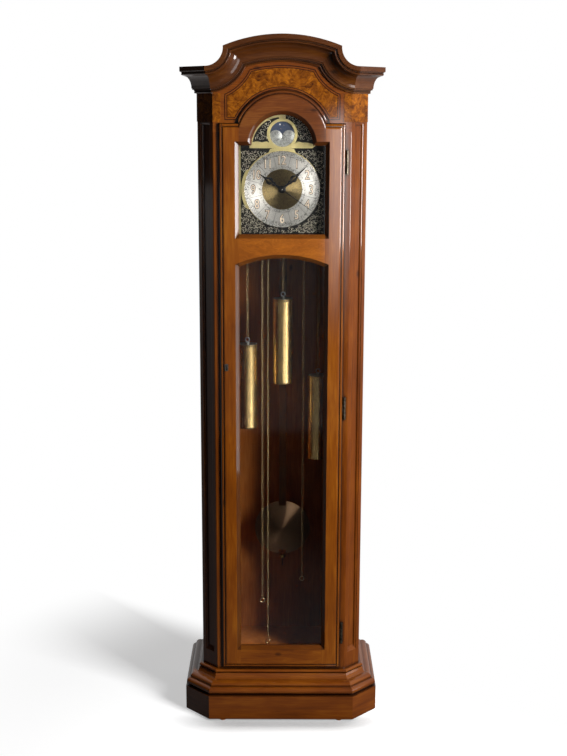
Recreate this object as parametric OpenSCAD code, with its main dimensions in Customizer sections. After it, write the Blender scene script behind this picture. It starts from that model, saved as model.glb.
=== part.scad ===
// Longcase clock with an arched hood line, canted corners, a glazed door,
// a moon dial, three chain driven weights and a seconds pendulum.
// X runs to the right, Y to the back, Z up. The origin is on the floor, at the middle of the plan.

/* [Case] */
// Overall height to the crown of the arch
case_h = 2002; // [1950:1:2050]
// Width over the plinth
plinth_w = 580; // [560:1:600]
// Depth from the front of the plinth to the back board
plinth_d = 336; // [320:1:350]
// How far the plinth stands out at the sides of the trunk
plinth_out = 51; // [45:1:55]
// How far it stands out in front
plinth_front = 66; // [60:1:70]
// Top of the plinth block
block_top = 78; // [70:1:85]
// Top of the base moulding, where the trunk starts
trunk_z = 140; // [136:1:144]
// Width of the canted corners along the front
cant = 46; // [40:0.5:50]
// Thickness of the frame and corner boards
board = 20; // [18:1:22]
// Thickness of the side panels
side_t = 16; // [12:1:18]
// Thickness of the back board
back_t = 8; // [6:1:10]
// Top of the side cornice
cornice_z = 1917; // [1912:1:1920]

/* [Door] */
// Half width of the door
door_hw = 177; // [174:1:178]
// Bottom edge of the door
door_z0 = 147; // [145:1:150]
// Shoulder of the door, where the arch starts
door_z1 = 1765; // [1760:1:1768]
// Radius of the door's arch
door_r = 138; // [135:1:139]
// Height of the centre of that arch
door_cz = 1717; // [1715:1:1718]
// How far the door stands proud of the frame
door_out = 14; // [10:1:16]
// Depth of the part that sits inside the frame
door_in = 8; // [6:1:10]
// Half width of both glazed openings, inside their bevels
sight_hw = 121; // [119:0.5:123]
// Width of the bevel round the openings
reveal = 11; // [8:1:12]
// Opening angle of the door in degrees
door_open = 110; // [90:5:115]

/* [Dial] */
// Height of the dial centre
dial_z = 1581; // [1580:1:1582]
// Side of the square part of the dial
dial_w = 280; // [276:1:282]
// Outer radius of the chapter ring
chapter_r = 104.5; // [102:0.5:106]
// Inner radius of the chapter ring
chapter_ir = 57; // [55:0.5:60]
// Height of the centre of the moon window
moon_z = 1734.6; // [1732:0.2:1736]
// Radius of the moon window
moon_r = 35; // [33:0.5:36]
// Angle of the hour hand, clockwise from twelve
hour_a = -56.1; // [-180:0.1:180]
// Angle of the minute hand
minute_a = 47; // [-180:0.1:180]
// Angle of the seconds hand
second_a = 125.3; // [-180:0.1:180]

/* [Weights and pendulum] */
// Radius of a weight
weight_r = 30; // [28:0.5:31]
// Length of a weight
weight_h = 258; // [250:1:262]
// Places of the weights across the case, left, centre and right
weight_x = [-102, 3, 108];
// Places of the free ends of the chains
free_x = [-58, -41, 64];
// Tops of the weights
weight_top = [1123.4, 1259.6, 1029.5];
// Heights of the rings at the free ends
ring_z = [315, 179, 387];
// Radius of the pendulum bob
bob_r = 87; // [84:1:90]
// Height of the middle of the bob
bob_z = 525; // [520:1:530]
// Height of the pendulum's pivot
pivot_z = 1556; // [1555:1:1557]

/* [Hidden] */
$fn = 64;

// The plan: the trunk is a rectangle with its two front corners cut at 45 degrees.
mitre = tan(22.5);
trunk_hw = plinth_w / 2 - plinth_out;
facet_hw = trunk_hw - cant;
front_y = -plinth_d / 2 + plinth_front;
plinth_cant = 63;
back_y = plinth_d / 2;
inner_back_y = back_y - back_t;

// Levels of the case
glide_h = 5;
foot_x = 175;
floor_z = 164;
seat_z = 1405;
seat_top = 1425;
crown_depth = 72;
crown_out = 47;
crown_low = cornice_z - crown_depth;

// The arch of the cornice and the hollow shoulders that it meets
arch_r = 431;
arch_cz = case_h - arch_r;
hollow_r = 50;
hollow_x = 211.5;
hollow_z = cornice_z + hollow_r;

// The door's planes
door_front = front_y - door_out;
door_gap = 0.5;
lip_y = front_y - door_gap;
door_back = front_y + door_in;
lip = 8;
inset_hw = door_hw - lip;
opening_hw = inset_hw + door_gap;
trunk_sight_z0 = 205 + reveal;
trunk_sight_z1 = 1376.5 - reveal;
trunk_sight_top = 1400.6 - reveal;
dial_sight_z0 = 1446 + reveal;
dial_sight_z1 = 1714.6 - reveal;
dial_sight_r = 96.8 - reveal;
dial_sight_cz = 1702;
glass_y = -99;
glass_t = 3;
glass_in = 7;

// Hinges on the right edge of the door
hinge_x = 181.5;
hinge_y = -107.5;
hinge_h = 66;
hinge_mid = [1658, 953, 257];
knuckle_r = 4;
pin_r = 1.5;
lock_z = 1076;
lock_x = -158.7;

// Planes of the movement, from the hands to the pendulum
dial_y = -71;
dial_t = 2;
plate_t = 3;
front_plate_y = -29;
back_plate_y = 41;
plate_x0 = -118;
plate_x1 = 124;
plate_z1 = 1640;
chain_y = 8;
pendulum_x = 3;
pendulum_y = 88;
fit = 0.05;
arbor_r = 2.5;
pivot_r = 1.5;

// Arbors of the going train, as [x, z] on the plates
sprocket_z = 1500;
sprocket_r = 22;
sprocket_x = [for (i = [0:2]) (weight_x[i] + free_x[i]) / 2];
chain_r = 2.2;
great_n = 96;
inter_pn = 12;
great_m = 0.9;
inter_n = 72;
centre_pn = 18;
inter_m = 0.9;
centre_n = 80;
third_pn = 10;
third_n = 75;
fast_pn = 10;
step_d = 30;
centre_m = 2 * step_d / (centre_n + third_pn);
third_m = 2 * step_d / (third_n + fast_pn);
escape_n = 30;
escape_r = 19.5;
cannon_n = 14;
minute_n = 42;
minute_pn = 12;
hour_n = 48;
motion_d = 25;
cannon_m = 2 * motion_d / (cannon_n + minute_n);
hour_m = 2 * motion_d / (minute_pn + hour_n);

function meet(a, ra, b, rb, side) =
  let (d = norm(b - a), u = (b - a) / d, s = (ra * ra - rb * rb + d * d) / (2 * d))
  a + s * u + side * sqrt(ra * ra - s * s) * [-u[1], u[0]];
function bearing(a, b) = atan2(b[1] - a[1], b[0] - a[0]);
// Where a tooth of the second wheel stands so that it meshes with the first.
function meshed(a, b, na, nb, turn) =
  let (way = bearing(a, b)) way + 180 - (180 - (way - turn) * na) / nb;

at_centre = [0, dial_z];
at_great = [sprocket_x[1], sprocket_z];
at_inter = meet(at_great, great_m * (great_n + inter_pn) / 2, at_centre, inter_m * (inter_n + centre_pn) / 2, 1);
at_escape = [20, 1534];
at_third = meet(at_centre, step_d, at_escape, step_d, 1);
at_pallet = [pendulum_x, pivot_z];
at_minute = [-20, 1566];
at_moon = [0, 1700];

turn_great = 0;
turn_inter_p = meshed(at_great, at_inter, great_n, inter_pn, turn_great);
turn_inter = 0;
turn_centre_p = meshed(at_inter, at_centre, inter_n, centre_pn, turn_inter);
turn_centre = 0;
turn_third_p = meshed(at_centre, at_third, centre_n, third_pn, turn_centre);
turn_third = 0;
turn_escape_p = meshed(at_third, at_escape, third_n, fast_pn, turn_third);
turn_second_p = meshed(at_third, at_centre, third_n, fast_pn, turn_third);
turn_cannon = 0;
turn_minute = meshed(at_centre, at_minute, cannon_n, minute_n, turn_cannon);
turn_minute_p = 0;
turn_hour = meshed(at_minute, at_centre, minute_pn, hour_n, turn_minute_p);

// Colours, as they show on the clock
wood = [0.42, 0.20, 0.08];
dark_wood = [0.26, 0.12, 0.05];
burl = [0.62, 0.33, 0.10];
brass = [0.80, 0.64, 0.30];
steel = [0.62, 0.63, 0.64];
silver = [0.78, 0.79, 0.78];
black = [0.06, 0.06, 0.06];
glass = [0.80, 0.88, 0.90, 0.3];

// A flat shape in the X Z plane, given its thickness from one depth to another.
module facing(y0, y1) {
  translate([0, y1, 0]) rotate([90, 0, 0]) linear_extrude(y1 - y0) children();
}
module along_y(x, z, y0, y1, r) {
  translate([x, y1, z]) rotate([90, 0, 0]) cylinder(h = y1 - y0, r = r);
}
module both_sides() {
  children();
  mirror([1, 0, 0]) children();
}
module upright(z0, z1) {
  translate([0, 0, z0]) linear_extrude(z1 - z0) children();
}

// Outline of the case, moved out by one distance each at the sides, in front and at the cants.
// The back stays flush.
function plan_of(side, front, corner, back = back_y) =
  let (fx = facet_hw - front + corner * sqrt(2), sx = trunk_hw + side, cy = front_y + cant + side - corner * sqrt(2))
  [[-sx, back], [-sx, cy], [-fx, front_y - front], [fx, front_y - front], [sx, cy], [sx, back]];
function plan(out, back = back_y) = plan_of(out, out, out, back);
module plan_shape(out, back = back_y) polygon(plan(out, back));

// A moulding of one section carried round the front, the cants and the sides.
// The section is a list of [distance out from the trunk, height]. A face is [point, turn, stretch
// of the section's distances].
module moulded(section, faces) {
  deep = 3 * trunk_hw;
  intersection_for (f = faces)
    translate([f[0][0], f[0][1], 0]) rotate([0, 0, f[1]])
      rotate([90, 0, 0]) linear_extrude(3 * plinth_w, center = true) polygon(concat(
        [[-deep, section[0][1]]], [for (p = section) [f[2] * p[0], p[1]]], [[-deep, section[len(section) - 1][1]]]));
}
function right_side(k = 1) = [[trunk_hw, 0], 0, k];
function right_cant(k = 1) = [[trunk_hw, front_y + cant], -45, k];
function front_face(k) = [[0, front_y], -90, k];
function left_cant(k) = [[-trunk_hw, front_y + cant], -135, k];
function left_side(k) = [[-trunk_hw, 0], 180, k];

function quarter(cx, cy, rx, ry, a0, a1, n = 8) =
  [for (i = [0:n]) let (a = a0 + (a1 - a0) * i / n) [cx + rx * cos(a), cy + ry * sin(a)]];

// The arrises of the trunk are rounded. Each of the two boards that meet in one has half of it, between
// two angles in plan. Corner 3 joins the front and the right cant, corner 4 that cant and the side.
arris_r = 6;
function arris(corner, a0, a1) =
  let (c = plan(-arris_r)[corner]) quarter(c[0], c[1], arris_r, arris_r, a0, a1, 2);

// Base moulding, from its top to its foot: bead, sloping band, ovolo, quirk and torus.
// It is drawn for this width, and stretched to the plinth's at each face.
base_w = 48;
base_section = concat(
  [[3, trunk_z]], quarter(5, trunk_z - 5, 5, 5, 90, -60, 8), [[6.5, 130.5], [9, 129], [11, 123], [14, 117], [17, 114]],
  quarter(23, 105, 12, 9.5, 110, 0, 8), [[35, 103.5], [37, 103.5]], quarter(35, 91.5, 11, 11, 80, -70, 12),
  [[38.5, 79.5], [base_w - 3, 79.5], [base_w - 3, block_top]]);

// Crown moulding as [out, depth below its top edge]: a flat, a small bead, a hollow, a fillet
// and a bead.
crown = concat(
  [[0, 0], [crown_out, 0], [crown_out, 12], [46, 13.5], [42, 14.5], [42, 17]],
  quarter(39.5, 20, 3, 3, -90, 90, 6), quarter(38, 58, 23, 35, 270, 180),
  [[13, 59], [13, 62], [8, 62.5], [8, 66]], quarter(4.5, 69, 3.5, 3, -90, 90, 6), [[0, crown_depth]]);

module plinth_block() color(wood) difference() {
  upright(glide_h, block_top) polygon(plan_of(plinth_out, plinth_front, plinth_cant));
  upright(glide_h - 1, block_top + 1)
    polygon(plan_of(plinth_out - board, plinth_front - board, plinth_cant - board, back_y - board));
}
module base_moulding() color(wood) difference() {
  intersection() {
    moulded(base_section, [
      right_side(plinth_out / base_w), right_cant(plinth_cant / base_w), front_face(plinth_front / base_w),
      left_cant(plinth_cant / base_w), left_side(plinth_out / base_w)]);
    translate([-plinth_w, -plinth_w, block_top]) cube([2 * plinth_w, plinth_w + back_y, trunk_z - block_top]);
  }
  upright(block_top - 1, trunk_z + 1) plan_shape(-side_t, back_y + 1);
}
module case_floor() color(dark_wood) upright(floor_z - side_t, floor_z) plan_shape(-board, inner_back_y);
module glide_feet() color(burl)
  for (x = [-foot_x, foot_x], y = [front_y - plinth_front + 12, back_y - 14])
    translate([x, y, 0]) cylinder(h = glide_h, r = 9);
module back_board() color(dark_wood) facing(inner_back_y, back_y) {
  translate([-trunk_hw, trunk_z]) square([2 * trunk_hw, cornice_z - trunk_z - 6]);
  translate([side_t - trunk_hw, block_top + board]) square([2 * (trunk_hw - side_t), trunk_z - block_top - board + 1]);
}
module side_panels() color(wood) both_sides() upright(trunk_z, cornice_z) polygon(concat(
  arris(4, -22.5, 0), [[trunk_hw, inner_back_y], [trunk_hw - side_t, inner_back_y],
  [trunk_hw - side_t, front_y + cant + side_t * mitre]]));

// Canted corner board with a long sunken field: its edge is a step and an ovolo, as
// [distance in from the edge, depth], and its foot is a slope.
field_w = 38;
field_d = 7;
field_z0 = 188;
field_z1 = 1765;
field_edge = concat([[0, -2]], quarter(0, field_d, 6, -5.5, 90, 0, 6));
field_back = [for (i = [len(field_edge) - 1:-1:0]) field_edge[i]];
module corner_posts() color(wood) both_sides() difference() {
  upright(trunk_z, cornice_z)
    polygon(concat(arris(4, -22.5, -45), arris(3, -45, -67.5), [plan(-board)[3], plan(-board)[4]]));
  translate([trunk_hw - cant / 2, front_y + cant / 2, 0]) rotate([0, 0, 45]) intersection() {
    upright(field_z0 - 10, field_z1) polygon(concat(
      [for (p = field_edge) [p[0] - field_w / 2, p[1]]], [for (p = field_back) [field_w / 2 - p[0], p[1]]]));
    rotate([90, 0, 90]) linear_extrude(field_w, center = true) polygon(concat(
      [[-2, field_z0 - 4], [field_d, field_z0 + 2 * field_d]], [for (p = field_back) [p[1], field_z1 - p[0]]]));
  }
}
module front_frame() color(wood) {
  difference() {
    both_sides() upright(trunk_z, 1740) polygon(concat(
      arris(3, -67.5, -90), [[opening_hw, front_y], [opening_hw, front_y + board], plan(-board)[3]]));
    // Mortise for the lock's bolt
    translate([-opening_hw - 9, -100.2, lock_z - 4.2]) cube([10, 4.4, 8.4]);
  }
  translate([-opening_hw, front_y, trunk_z]) cube([2 * opening_hw, board, door_z0 + lip - door_gap - trunk_z]);
}

// Where the arch meets the hollow shoulder, at a depth below the top edge.
function crown_mitre(t) =
  meet([0, arch_cz], arch_r - t, [hollow_x, hollow_z], hollow_r + t, 1);
// The front view's outline of the pediment: an arch between two hollow shoulders.
crown_end = crown_mitre(0);
crown_line = concat([[crown_end[0], crown_end[1]]],
  quarter(hollow_x, hollow_z, hollow_r, hollow_r, bearing([hollow_x, hollow_z], crown_end), 270, 24));
module crown_outline() union() {
  intersection() {
    translate([0, arch_cz]) circle(r = arch_r, $fn = 200);
    translate([-crown_end[0], 1740]) square([2 * crown_end[0], 300]);
  }
  both_sides() polygon(concat(crown_line, [[hollow_x, 1740], [crown_end[0] - 1, 1740]]));
}
// The board has a bead round its burl panel, between two quirks, and a deeper rebate
// round the door's arch.
bead_w = 8;
module frieze_board() color(wood) {
  facing(front_y - 2, front_y) frieze_bead(5.5, 2);
  difference() {
    frieze_blank();
    facing(front_y - 1, front_y + 2) {
      frieze_bead(bead_w, 5.5);
      frieze_bead(2, 0);
    }
    facing(front_y - 1, front_y + 5) intersection() {
      difference() {
        translate([0, door_cz]) circle(r = door_r + 3.5, $fn = 120);
        translate([0, door_cz]) circle(r = door_r - lip - 1, $fn = 120);
      }
      translate([-200, door_z1]) square([400, 200]);
    }
  }
}
module frieze_bead(outer, inner) difference() {
  frieze_panel(outer);
  frieze_panel(inner);
}
module frieze_blank() intersection() {
  upright(1739, case_h + 1)
    polygon([plan(0)[2], plan(0)[3], plan(-board)[3], plan(-board)[2]]);
  facing(front_y - 1, front_y + board + 1) difference() {
    crown_outline();
    translate([-opening_hw, 1700]) square([2 * opening_hw, door_z1 - lip + door_gap - 1700]);
    translate([0, door_cz]) circle(r = door_r - lip + door_gap);
  }
}
veneer = 1.2;
panel_hw = 152.5;
panel_z0 = 1781;
tablet_x = 171;
// Outline of the burl panel in the frieze, grown by the width of the bead round it.
module frieze_panel(grow) difference() {
  intersection() {
    translate([0, arch_cz]) circle(r = arch_r - crown_depth - 17 + grow, $fn = 200);
    translate([-panel_hw - grow, panel_z0 - grow]) square([2 * (panel_hw + grow), 200]);
  }
  both_sides() translate([hollow_x, hollow_z]) circle(r = hollow_r + crown_depth + 20 - grow, $fn = 120);
  translate([0, door_cz]) circle(r = door_r + 9 - grow, $fn = 120);
}
module burl_veneers() color(burl) {
  facing(front_y - veneer, front_y) frieze_panel(0);
  both_sides() upright(door_z1 + 3, crown_low) difference() {
    plan_shape(veneer);
    plan_shape(0);
    translate([-400, -400]) square([400 + tablet_x, 800]);
    translate([-400, front_y + cant]) square([800, 400]);
  }
}

mitre_line = [for (t = [-8:10:82]) crown_mitre(t)];
mitre_flip = [for (p = mitre_line) [-p[0], p[1]]];
module arch_zone() polygon(concat(
  [mitre_line[0] + [0, 100]], mitre_line,
  [for (i = [len(mitre_line) - 1:-1:0]) mitre_flip[i]], [mitre_flip[0] + [0, 100]]));
module front_wedge() upright(crown_low - 1, case_h + 1)
  polygon([[-facet_hw, front_y], [facet_hw, front_y], [facet_hw + 80 * mitre, front_y - 80], [-facet_hw - 80 * mitre, front_y - 80]]);
module ring_moulding(r, way, cx, cz) translate([cx, front_y, cz]) rotate([90, 0, 0])
  rotate_extrude($fn = 200) polygon([for (p = crown) [r + way * p[1], p[0]]]);
module cornice() color(wood) {
  intersection() {
    ring_moulding(arch_r, -1, 0, arch_cz);
    facing(front_y - 60, front_y + 1) arch_zone();
  }
  both_sides() difference() {
    intersection() {
      ring_moulding(hollow_r, 1, hollow_x, hollow_z);
      front_wedge();
      facing(front_y - 60, front_y + 1) translate([90, crown_low - 1]) square([140, hollow_z + 6 - crown_low]);
    }
    facing(front_y - 61, front_y + 2) arch_zone();
  }
  both_sides() difference() {
    intersection() {
      moulded([for (p = crown) [p[0], cornice_z - p[1]]], [right_side(), right_cant()]);
      translate([facet_hw - 1, -plinth_w, crown_low]) cube([200, plinth_w + back_y, crown_depth]);
    }
    upright(crown_low - 1, cornice_z + 1) plan_shape(0, back_y + 1);
    front_wedge();
  }
}
module top_board() color(dark_wood) upright(cornice_z - 22, cornice_z - 8) plan_shape(-board, inner_back_y);

// Seat board for the movement, open in the middle for the chains, and its bearers.
bearer_w = 18;
module seat_board() color(dark_wood) {
  difference() {
    translate([side_t - trunk_hw, -46, seat_z]) cube([2 * (trunk_hw - side_t), 104, seat_top - seat_z]);
    translate([-124, -19, seat_z - 1]) cube([254, 54, seat_top - seat_z + 2]);
  }
  both_sides() translate([trunk_hw - side_t - bearer_w, -46, seat_z - 40]) cube([bearer_w, inner_back_y + 46, 40]);
}

module plate_outline() difference() {
  translate([plate_x0, seat_top]) square([plate_x1 - plate_x0, plate_z1 - seat_top]);
  translate([plate_x0 + 26, seat_top - 1]) square([plate_x1 - plate_x0 - 52, 13]);
}
module pivot_hole(p, r = pivot_r) translate(p) circle(r = r + fit);
module train_holes() {
  for (i = [0, 2]) pivot_hole([sprocket_x[i], sprocket_z]);
  pivot_hole(at_great);
  pivot_hole(at_inter);
  pivot_hole(at_third);
}
module front_plate() color(brass) {
  facing(front_plate_y, front_plate_y + plate_t) difference() {
    plate_outline();
    train_holes();
    pivot_hole(at_escape);
    pivot_hole(at_centre, 3);
  }
  // Stud for the minute wheel
  along_y(at_minute[0], at_minute[1], front_plate_y - 17, front_plate_y, pivot_r);
}
module back_plate() color(brass) facing(back_plate_y, back_plate_y + plate_t) difference() {
  plate_outline();
  train_holes();
  pivot_hole(at_escape);
  pivot_hole(at_pallet);
  pivot_hole(at_centre, 1.2);
}
module plate_pillars() color(brass)
  for (p = [[sprocket_x[0], 1447], [sprocket_x[2], 1447], [plate_x0 + 13, plate_z1 - 13], [plate_x1 - 13, plate_z1 - 13]])
    along_y(p[0], p[1], front_plate_y + plate_t, back_plate_y, 5);

module dial_outline(grow = 0) {
  translate([-dial_w / 2 - grow, dial_z - dial_w / 2 - grow]) square([dial_w + 2 * grow, dial_w + 2 * grow]);
  translate([0, dial_sight_cz]) circle(r = dial_sight_r + 6 + grow);
}
module dial_plate() color(black) {
  facing(dial_y, dial_y + dial_t) difference() {
    dial_outline();
    translate([0, moon_z]) circle(r = moon_r);
    translate(at_centre) circle(r = 6);
  }
  // Stud for the moon disc and the feet that join the dial to the movement
  along_y(at_moon[0], at_moon[1], dial_y + dial_t, dial_y + 7, 3);
  for (x = [-96, 96], z = [1495, 1615]) along_y(x, z, dial_y + dial_t, front_plate_y, 3);
}
// Brass frame round the moon window with its band, and the two half round shields in it.
band_z0 = 1692;
band_z1 = 1708;
module dial_mounts() color(brass) {
  facing(dial_y - 2, dial_y) difference() {
    union() {
      translate([0, moon_z]) circle(r = moon_r + 9);
      intersection() {
        translate([-200, band_z0]) square([400, band_z1 - band_z0]);
        translate([0, dial_sight_cz]) circle(r = dial_sight_r - 3);
      }
      difference() {
        translate([0, dial_sight_cz]) circle(r = dial_sight_r - 3);
        translate([12, dial_sight_cz - 10]) circle(r = dial_sight_r - 3);
        translate([-200, 1500]) square([400, band_z0 - 1500]);
      }
    }
    translate([0, moon_z]) circle(r = moon_r);
    translate(at_centre) circle(r = chapter_r + 1);
  }
  facing(dial_y - 1.5, dial_y + 1) intersection() {
    translate([0, moon_z]) circle(r = moon_r);
    union() {
      both_sides() translate([17.5, moon_z - 9]) circle(r = 17.2);
      translate([-40, moon_z - 60]) square([80, 48]);
    }
  }
  // Corner pieces
  for (sx = [-1, 1], sz = [-1, 1]) facing(dial_y - 1.6, dial_y) intersection() {
    difference() {
      translate([sx * (sight_hw - 33), dial_z + sz * (sight_hw - 33)]) square([62, 62], center = true);
      translate(at_centre) circle(r = chapter_r + 4);
    }
    translate([-200, 1400]) square([400, band_z0 - 4 - 1400]);
  }
}
module chapter_ring() color(silver) facing(dial_y - 2.5, dial_y) difference() {
  translate(at_centre) circle(r = chapter_r);
  translate(at_centre) circle(r = chapter_ir);
}
module dial_centre() color(brass) facing(dial_y - 1.2, dial_y) difference() {
  translate(at_centre) circle(r = chapter_ir - 0.2);
  translate(at_centre) circle(r = 6);
}

// Gong block on the back board with five rods that hang behind the movement
gong_y = 134;
rod_lengths = [262, 248, 236, 226, 218];
function rod_x(i) = 45 - 18 * i;
module gong_rods() color(steel) {
  translate([-50, gong_y - 12, 1664]) cube([120, inner_back_y - gong_y + 12, 26]);
  for (i = [0:4]) translate([rod_x(i) + 1, gong_y, 1664 - rod_lengths[i]])
    cylinder(h = rod_lengths[i] + 4, r = 1.8);
}

// Cock behind the back plate: it carries the pallet arbor and the pendulum's spring.
cock_y = back_plate_y + plate_t;
cross_y = 65;
hammer_y = 106;
hammer_z = 1600;
module suspension_cock() color(brass) {
  difference() {
    union() {
      translate([pendulum_x - 30, cock_y, 1572]) cube([6, pendulum_y + 6 - cock_y, 12]);
      translate([pendulum_x + 24, cock_y, 1572]) cube([6, pendulum_y + 6 - cock_y, 12]);
      translate([pendulum_x - 30, cross_y, 1546]) cube([60, 4, 38]);
      translate([pendulum_x - 30, pendulum_y - 6, 1572]) cube([60, 12, 12]);
    }
    along_y(at_pallet[0], at_pallet[1], cross_y - 1, cross_y + 5, pivot_r + fit);
  }
  // Spring strip between the cock and the pivot
  translate([pendulum_x - 5, pendulum_y - 0.2, pivot_z + 1]) cube([10, 0.4, 16]);
  // Arms for the hammer arbor
  for (x = [-62, 66]) difference() {
    translate([x, cock_y, hammer_z - 5]) cube([4, hammer_y + 5 - cock_y, 10]);
    translate([x - 1, hammer_y, hammer_z]) rotate([0, 90, 0]) cylinder(h = 6, r = pivot_r + fit);
  }
}
module strike_hammers() color(steel) {
  translate([-62, hammer_y, hammer_z]) rotate([0, 90, 0]) cylinder(h = 132, r = pivot_r);
  for (i = [0:4]) {
    translate([rod_x(i) - 0.5, hammer_y - 2.5, hammer_z]) cube([3, 5, 42]);
    along_y(rod_x(i) + 1, hammer_z + 45, hammer_y - 9, gong_y - 4, 6);
  }
}

// Hinges: the case leaf holds two knuckles and the pin, the door leaf the middle one.
module hinge_leaves_case() color(brass) for (z = hinge_mid) {
  for (s = [0, 1]) translate([hinge_x, hinge_y, z - hinge_h / 2 + s * hinge_h * 2 / 3])
    cylinder(h = hinge_h / 3, r = knuckle_r);
  translate([hinge_x, hinge_y, z - hinge_h / 2]) cylinder(h = hinge_h, r = pin_r);
  for (s = [0, 1]) translate([hinge_x, front_y - 2.5, z - hinge_h / 2 + s * hinge_h * 2 / 3])
    cube([4.8, 2.5, hinge_h / 3]);
}
module hinge_leaves_door() color(brass) for (z = hinge_mid) difference() {
  union() {
    translate([hinge_x, hinge_y, z - hinge_h / 6 + 0.2]) cylinder(h = hinge_h / 3 - 0.4, r = knuckle_r);
    translate([door_hw - 1, lip_y - 7, z - hinge_h / 6 + 0.2]) cube([2.2, 7, hinge_h / 3 - 0.4]);
  }
  translate([hinge_x, hinge_y, z - hinge_h]) cylinder(h = 2 * hinge_h, r = pin_r + fit);
}

// Section through the door's outer edge, as [distance from the outer edge inwards, depth]:
// a rounded shoulder, a quirk and a rounded lip in front, and the inset part behind.
edge_round = 7;
edge_w = 16;
quirk_w = 10;
lip_front = door_front + 3.5;
function edge_section(deep) = concat(
  [[deep, door_front]], quarter(edge_w, door_front + 4, edge_w - quirk_w, 4, 270, 180, 5),
  [[quirk_w, door_front + 5.5], [quirk_w - 1.5, door_front + 5.5], [quirk_w - 1.5, lip_front + 1], [8, lip_front + 0.3]],
  quarter(edge_round, lip_front + edge_round, edge_round, edge_round, 270, 180, 6),
  [[0, lip_y], [lip, lip_y], [lip, door_back], [deep, door_back]]);
// The door as one board, before it is parted into its rails and stiles.
module door_blank() {
  intersection() {
    translate([0, 0, door_z0]) linear_extrude(door_z1 - door_z0) polygon(concat(
      [for (p = edge_section(60)) [p[0] - door_hw, p[1]]],
      [for (i = [len(edge_section(60)) - 1:-1:0]) let (p = edge_section(60)[i]) [door_hw - p[0], p[1]]]));
    rotate([90, 0, 90]) linear_extrude(2 * door_hw + 2, center = true) polygon(concat(
      [for (p = edge_section(60)) [p[1], door_z0 + p[0]]],
      [for (i = [len(edge_section(60)) - 1:-1:0]) let (p = edge_section(60)[i]) [p[1], door_z1 - p[0]]]));
  }
}
module door_arch() translate([0, 0, door_cz]) rotate([90, 0, 0]) rotate_extrude($fn = 120)
  polygon([for (p = concat([[door_r, door_front]], edge_section(door_r - 60), [[door_r, door_back]])) [door_r - p[0], -p[1]]]);
// Cuts for the trunk glass: the sight opening, its bevelled reveal and the rebate behind.
module trunk_shape(grow) intersection() {
  translate([-sight_hw - grow, trunk_sight_z0 - grow]) square([2 * (sight_hw + grow), 1400]);
  union() {
    translate([0, trunk_arch_cz]) circle(r = trunk_arch_r + grow, $fn = 200);
    translate([-200, 100]) square([400, trunk_arch_cz - 100]);
  }
}
trunk_rise = trunk_sight_top - trunk_sight_z1;
trunk_arch_r = (sight_hw * sight_hw + trunk_rise * trunk_rise) / (2 * trunk_rise);
trunk_arch_cz = trunk_sight_top - trunk_arch_r;
module slope_x(hw, z0, z1) translate([0, 0, z0]) linear_extrude(z1 - z0) polygon([
  [-hw - reveal, door_front - 0.01], [hw + reveal, door_front - 0.01], [hw, door_front + reveal], [-hw, door_front + reveal]]);
module slope_z(z0, z1, hw) rotate([90, 0, 90]) linear_extrude(2 * hw, center = true) polygon([
  [door_front - 0.01, z0 - reveal], [door_front + reveal, z0], [door_front + reveal, z1], [door_front - 0.01, z1 + reveal]]);
module slope_r(cz, r) translate([0, door_front + reveal, cz]) rotate([90, 0, 0])
  cylinder(h = reveal + 0.01, r1 = r, r2 = r + reveal, $fn = 200);
module trunk_cut() {
  facing(door_front - 1, door_back + 1) trunk_shape(0);
  intersection() {
    slope_x(sight_hw, 100, 1500);
    slope_z(trunk_sight_z0, 1500, 200);
    union() {
      slope_r(trunk_arch_cz, trunk_arch_r);
      translate([-200, door_front - 0.01, 100]) cube([400, reveal + 0.01, trunk_arch_cz - 100]);
    }
  }
  facing(glass_y - 0.1, door_back + 1) trunk_shape(glass_in + 0.3);
}
module dial_shape(grow) {
  translate([-sight_hw - grow, dial_sight_z0 - grow])
    square([2 * (sight_hw + grow), dial_sight_z1 - dial_sight_z0 + 2 * grow]);
  translate([0, dial_sight_cz]) circle(r = dial_sight_r + grow, $fn = 120);
}
module dial_cut() {
  facing(door_front - 1, door_back + 1) dial_shape(0);
  intersection() {
    slope_x(sight_hw, 1400, 1800);
    slope_z(dial_sight_z0, dial_sight_z1, 200);
  }
  slope_r(dial_sight_cz, dial_sight_r);
  facing(glass_y - 0.1, door_back + 1) dial_shape(glass_in + 0.3);
}
module hinge_pockets() for (z = hinge_mid)
  translate([door_hw - 1.1, door_front - 1, z - hinge_h / 6]) cube([10, 40, hinge_h / 3]);
module door_stiles() color(wood) difference() {
  intersection() {
    door_blank();
    both_sides() translate([sight_hw, -200, 100]) cube([100, 150, 1700]);
  }
  hinge_pockets();
  trunk_cut();
  dial_cut();
  // Recess for the lock, its keyhole and the way for the bolt
  translate([lock_x - 8.2, -104.1, lock_z - 22.2]) cube([30.4, 20, 44.4]);
  translate([-door_hw, -100.1, lock_z - 4.1]) cube([20, 4.2, 8.2]);
  along_y(lock_x, lock_z + 3, door_front - 1, -101, 2.2);
  translate([lock_x - 1.2, door_front - 1, lock_z - 7]) cube([2.4, 20, 10]);
}
module rail_block(z0, z1) translate([-sight_hw, -200, z0]) cube([2 * sight_hw, 150, z1 - z0]);
module door_arch_rail() color(wood) difference() {
  intersection() {
    union() {
      door_arch();
      intersection() {
        door_blank();
        rail_block(1690, door_z1 - lip);
      }
    }
    rail_block(1690, 1900);
  }
  dial_cut();
}
module door_mid_rail() color(wood) difference() {
  intersection() {
    door_blank();
    rail_block(1350, dial_sight_z0 + 1);
  }
  trunk_cut();
  dial_cut();
}
module door_bottom_rail() color(wood) difference() {
  intersection() {
    door_blank();
    rail_block(100, trunk_sight_z0 + 1);
  }
  trunk_cut();
}
module dial_glass() color(glass) facing(glass_y, glass_y + glass_t) dial_shape(glass_in);
module trunk_glass() color(glass) facing(glass_y, glass_y + glass_t) trunk_shape(glass_in);
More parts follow.
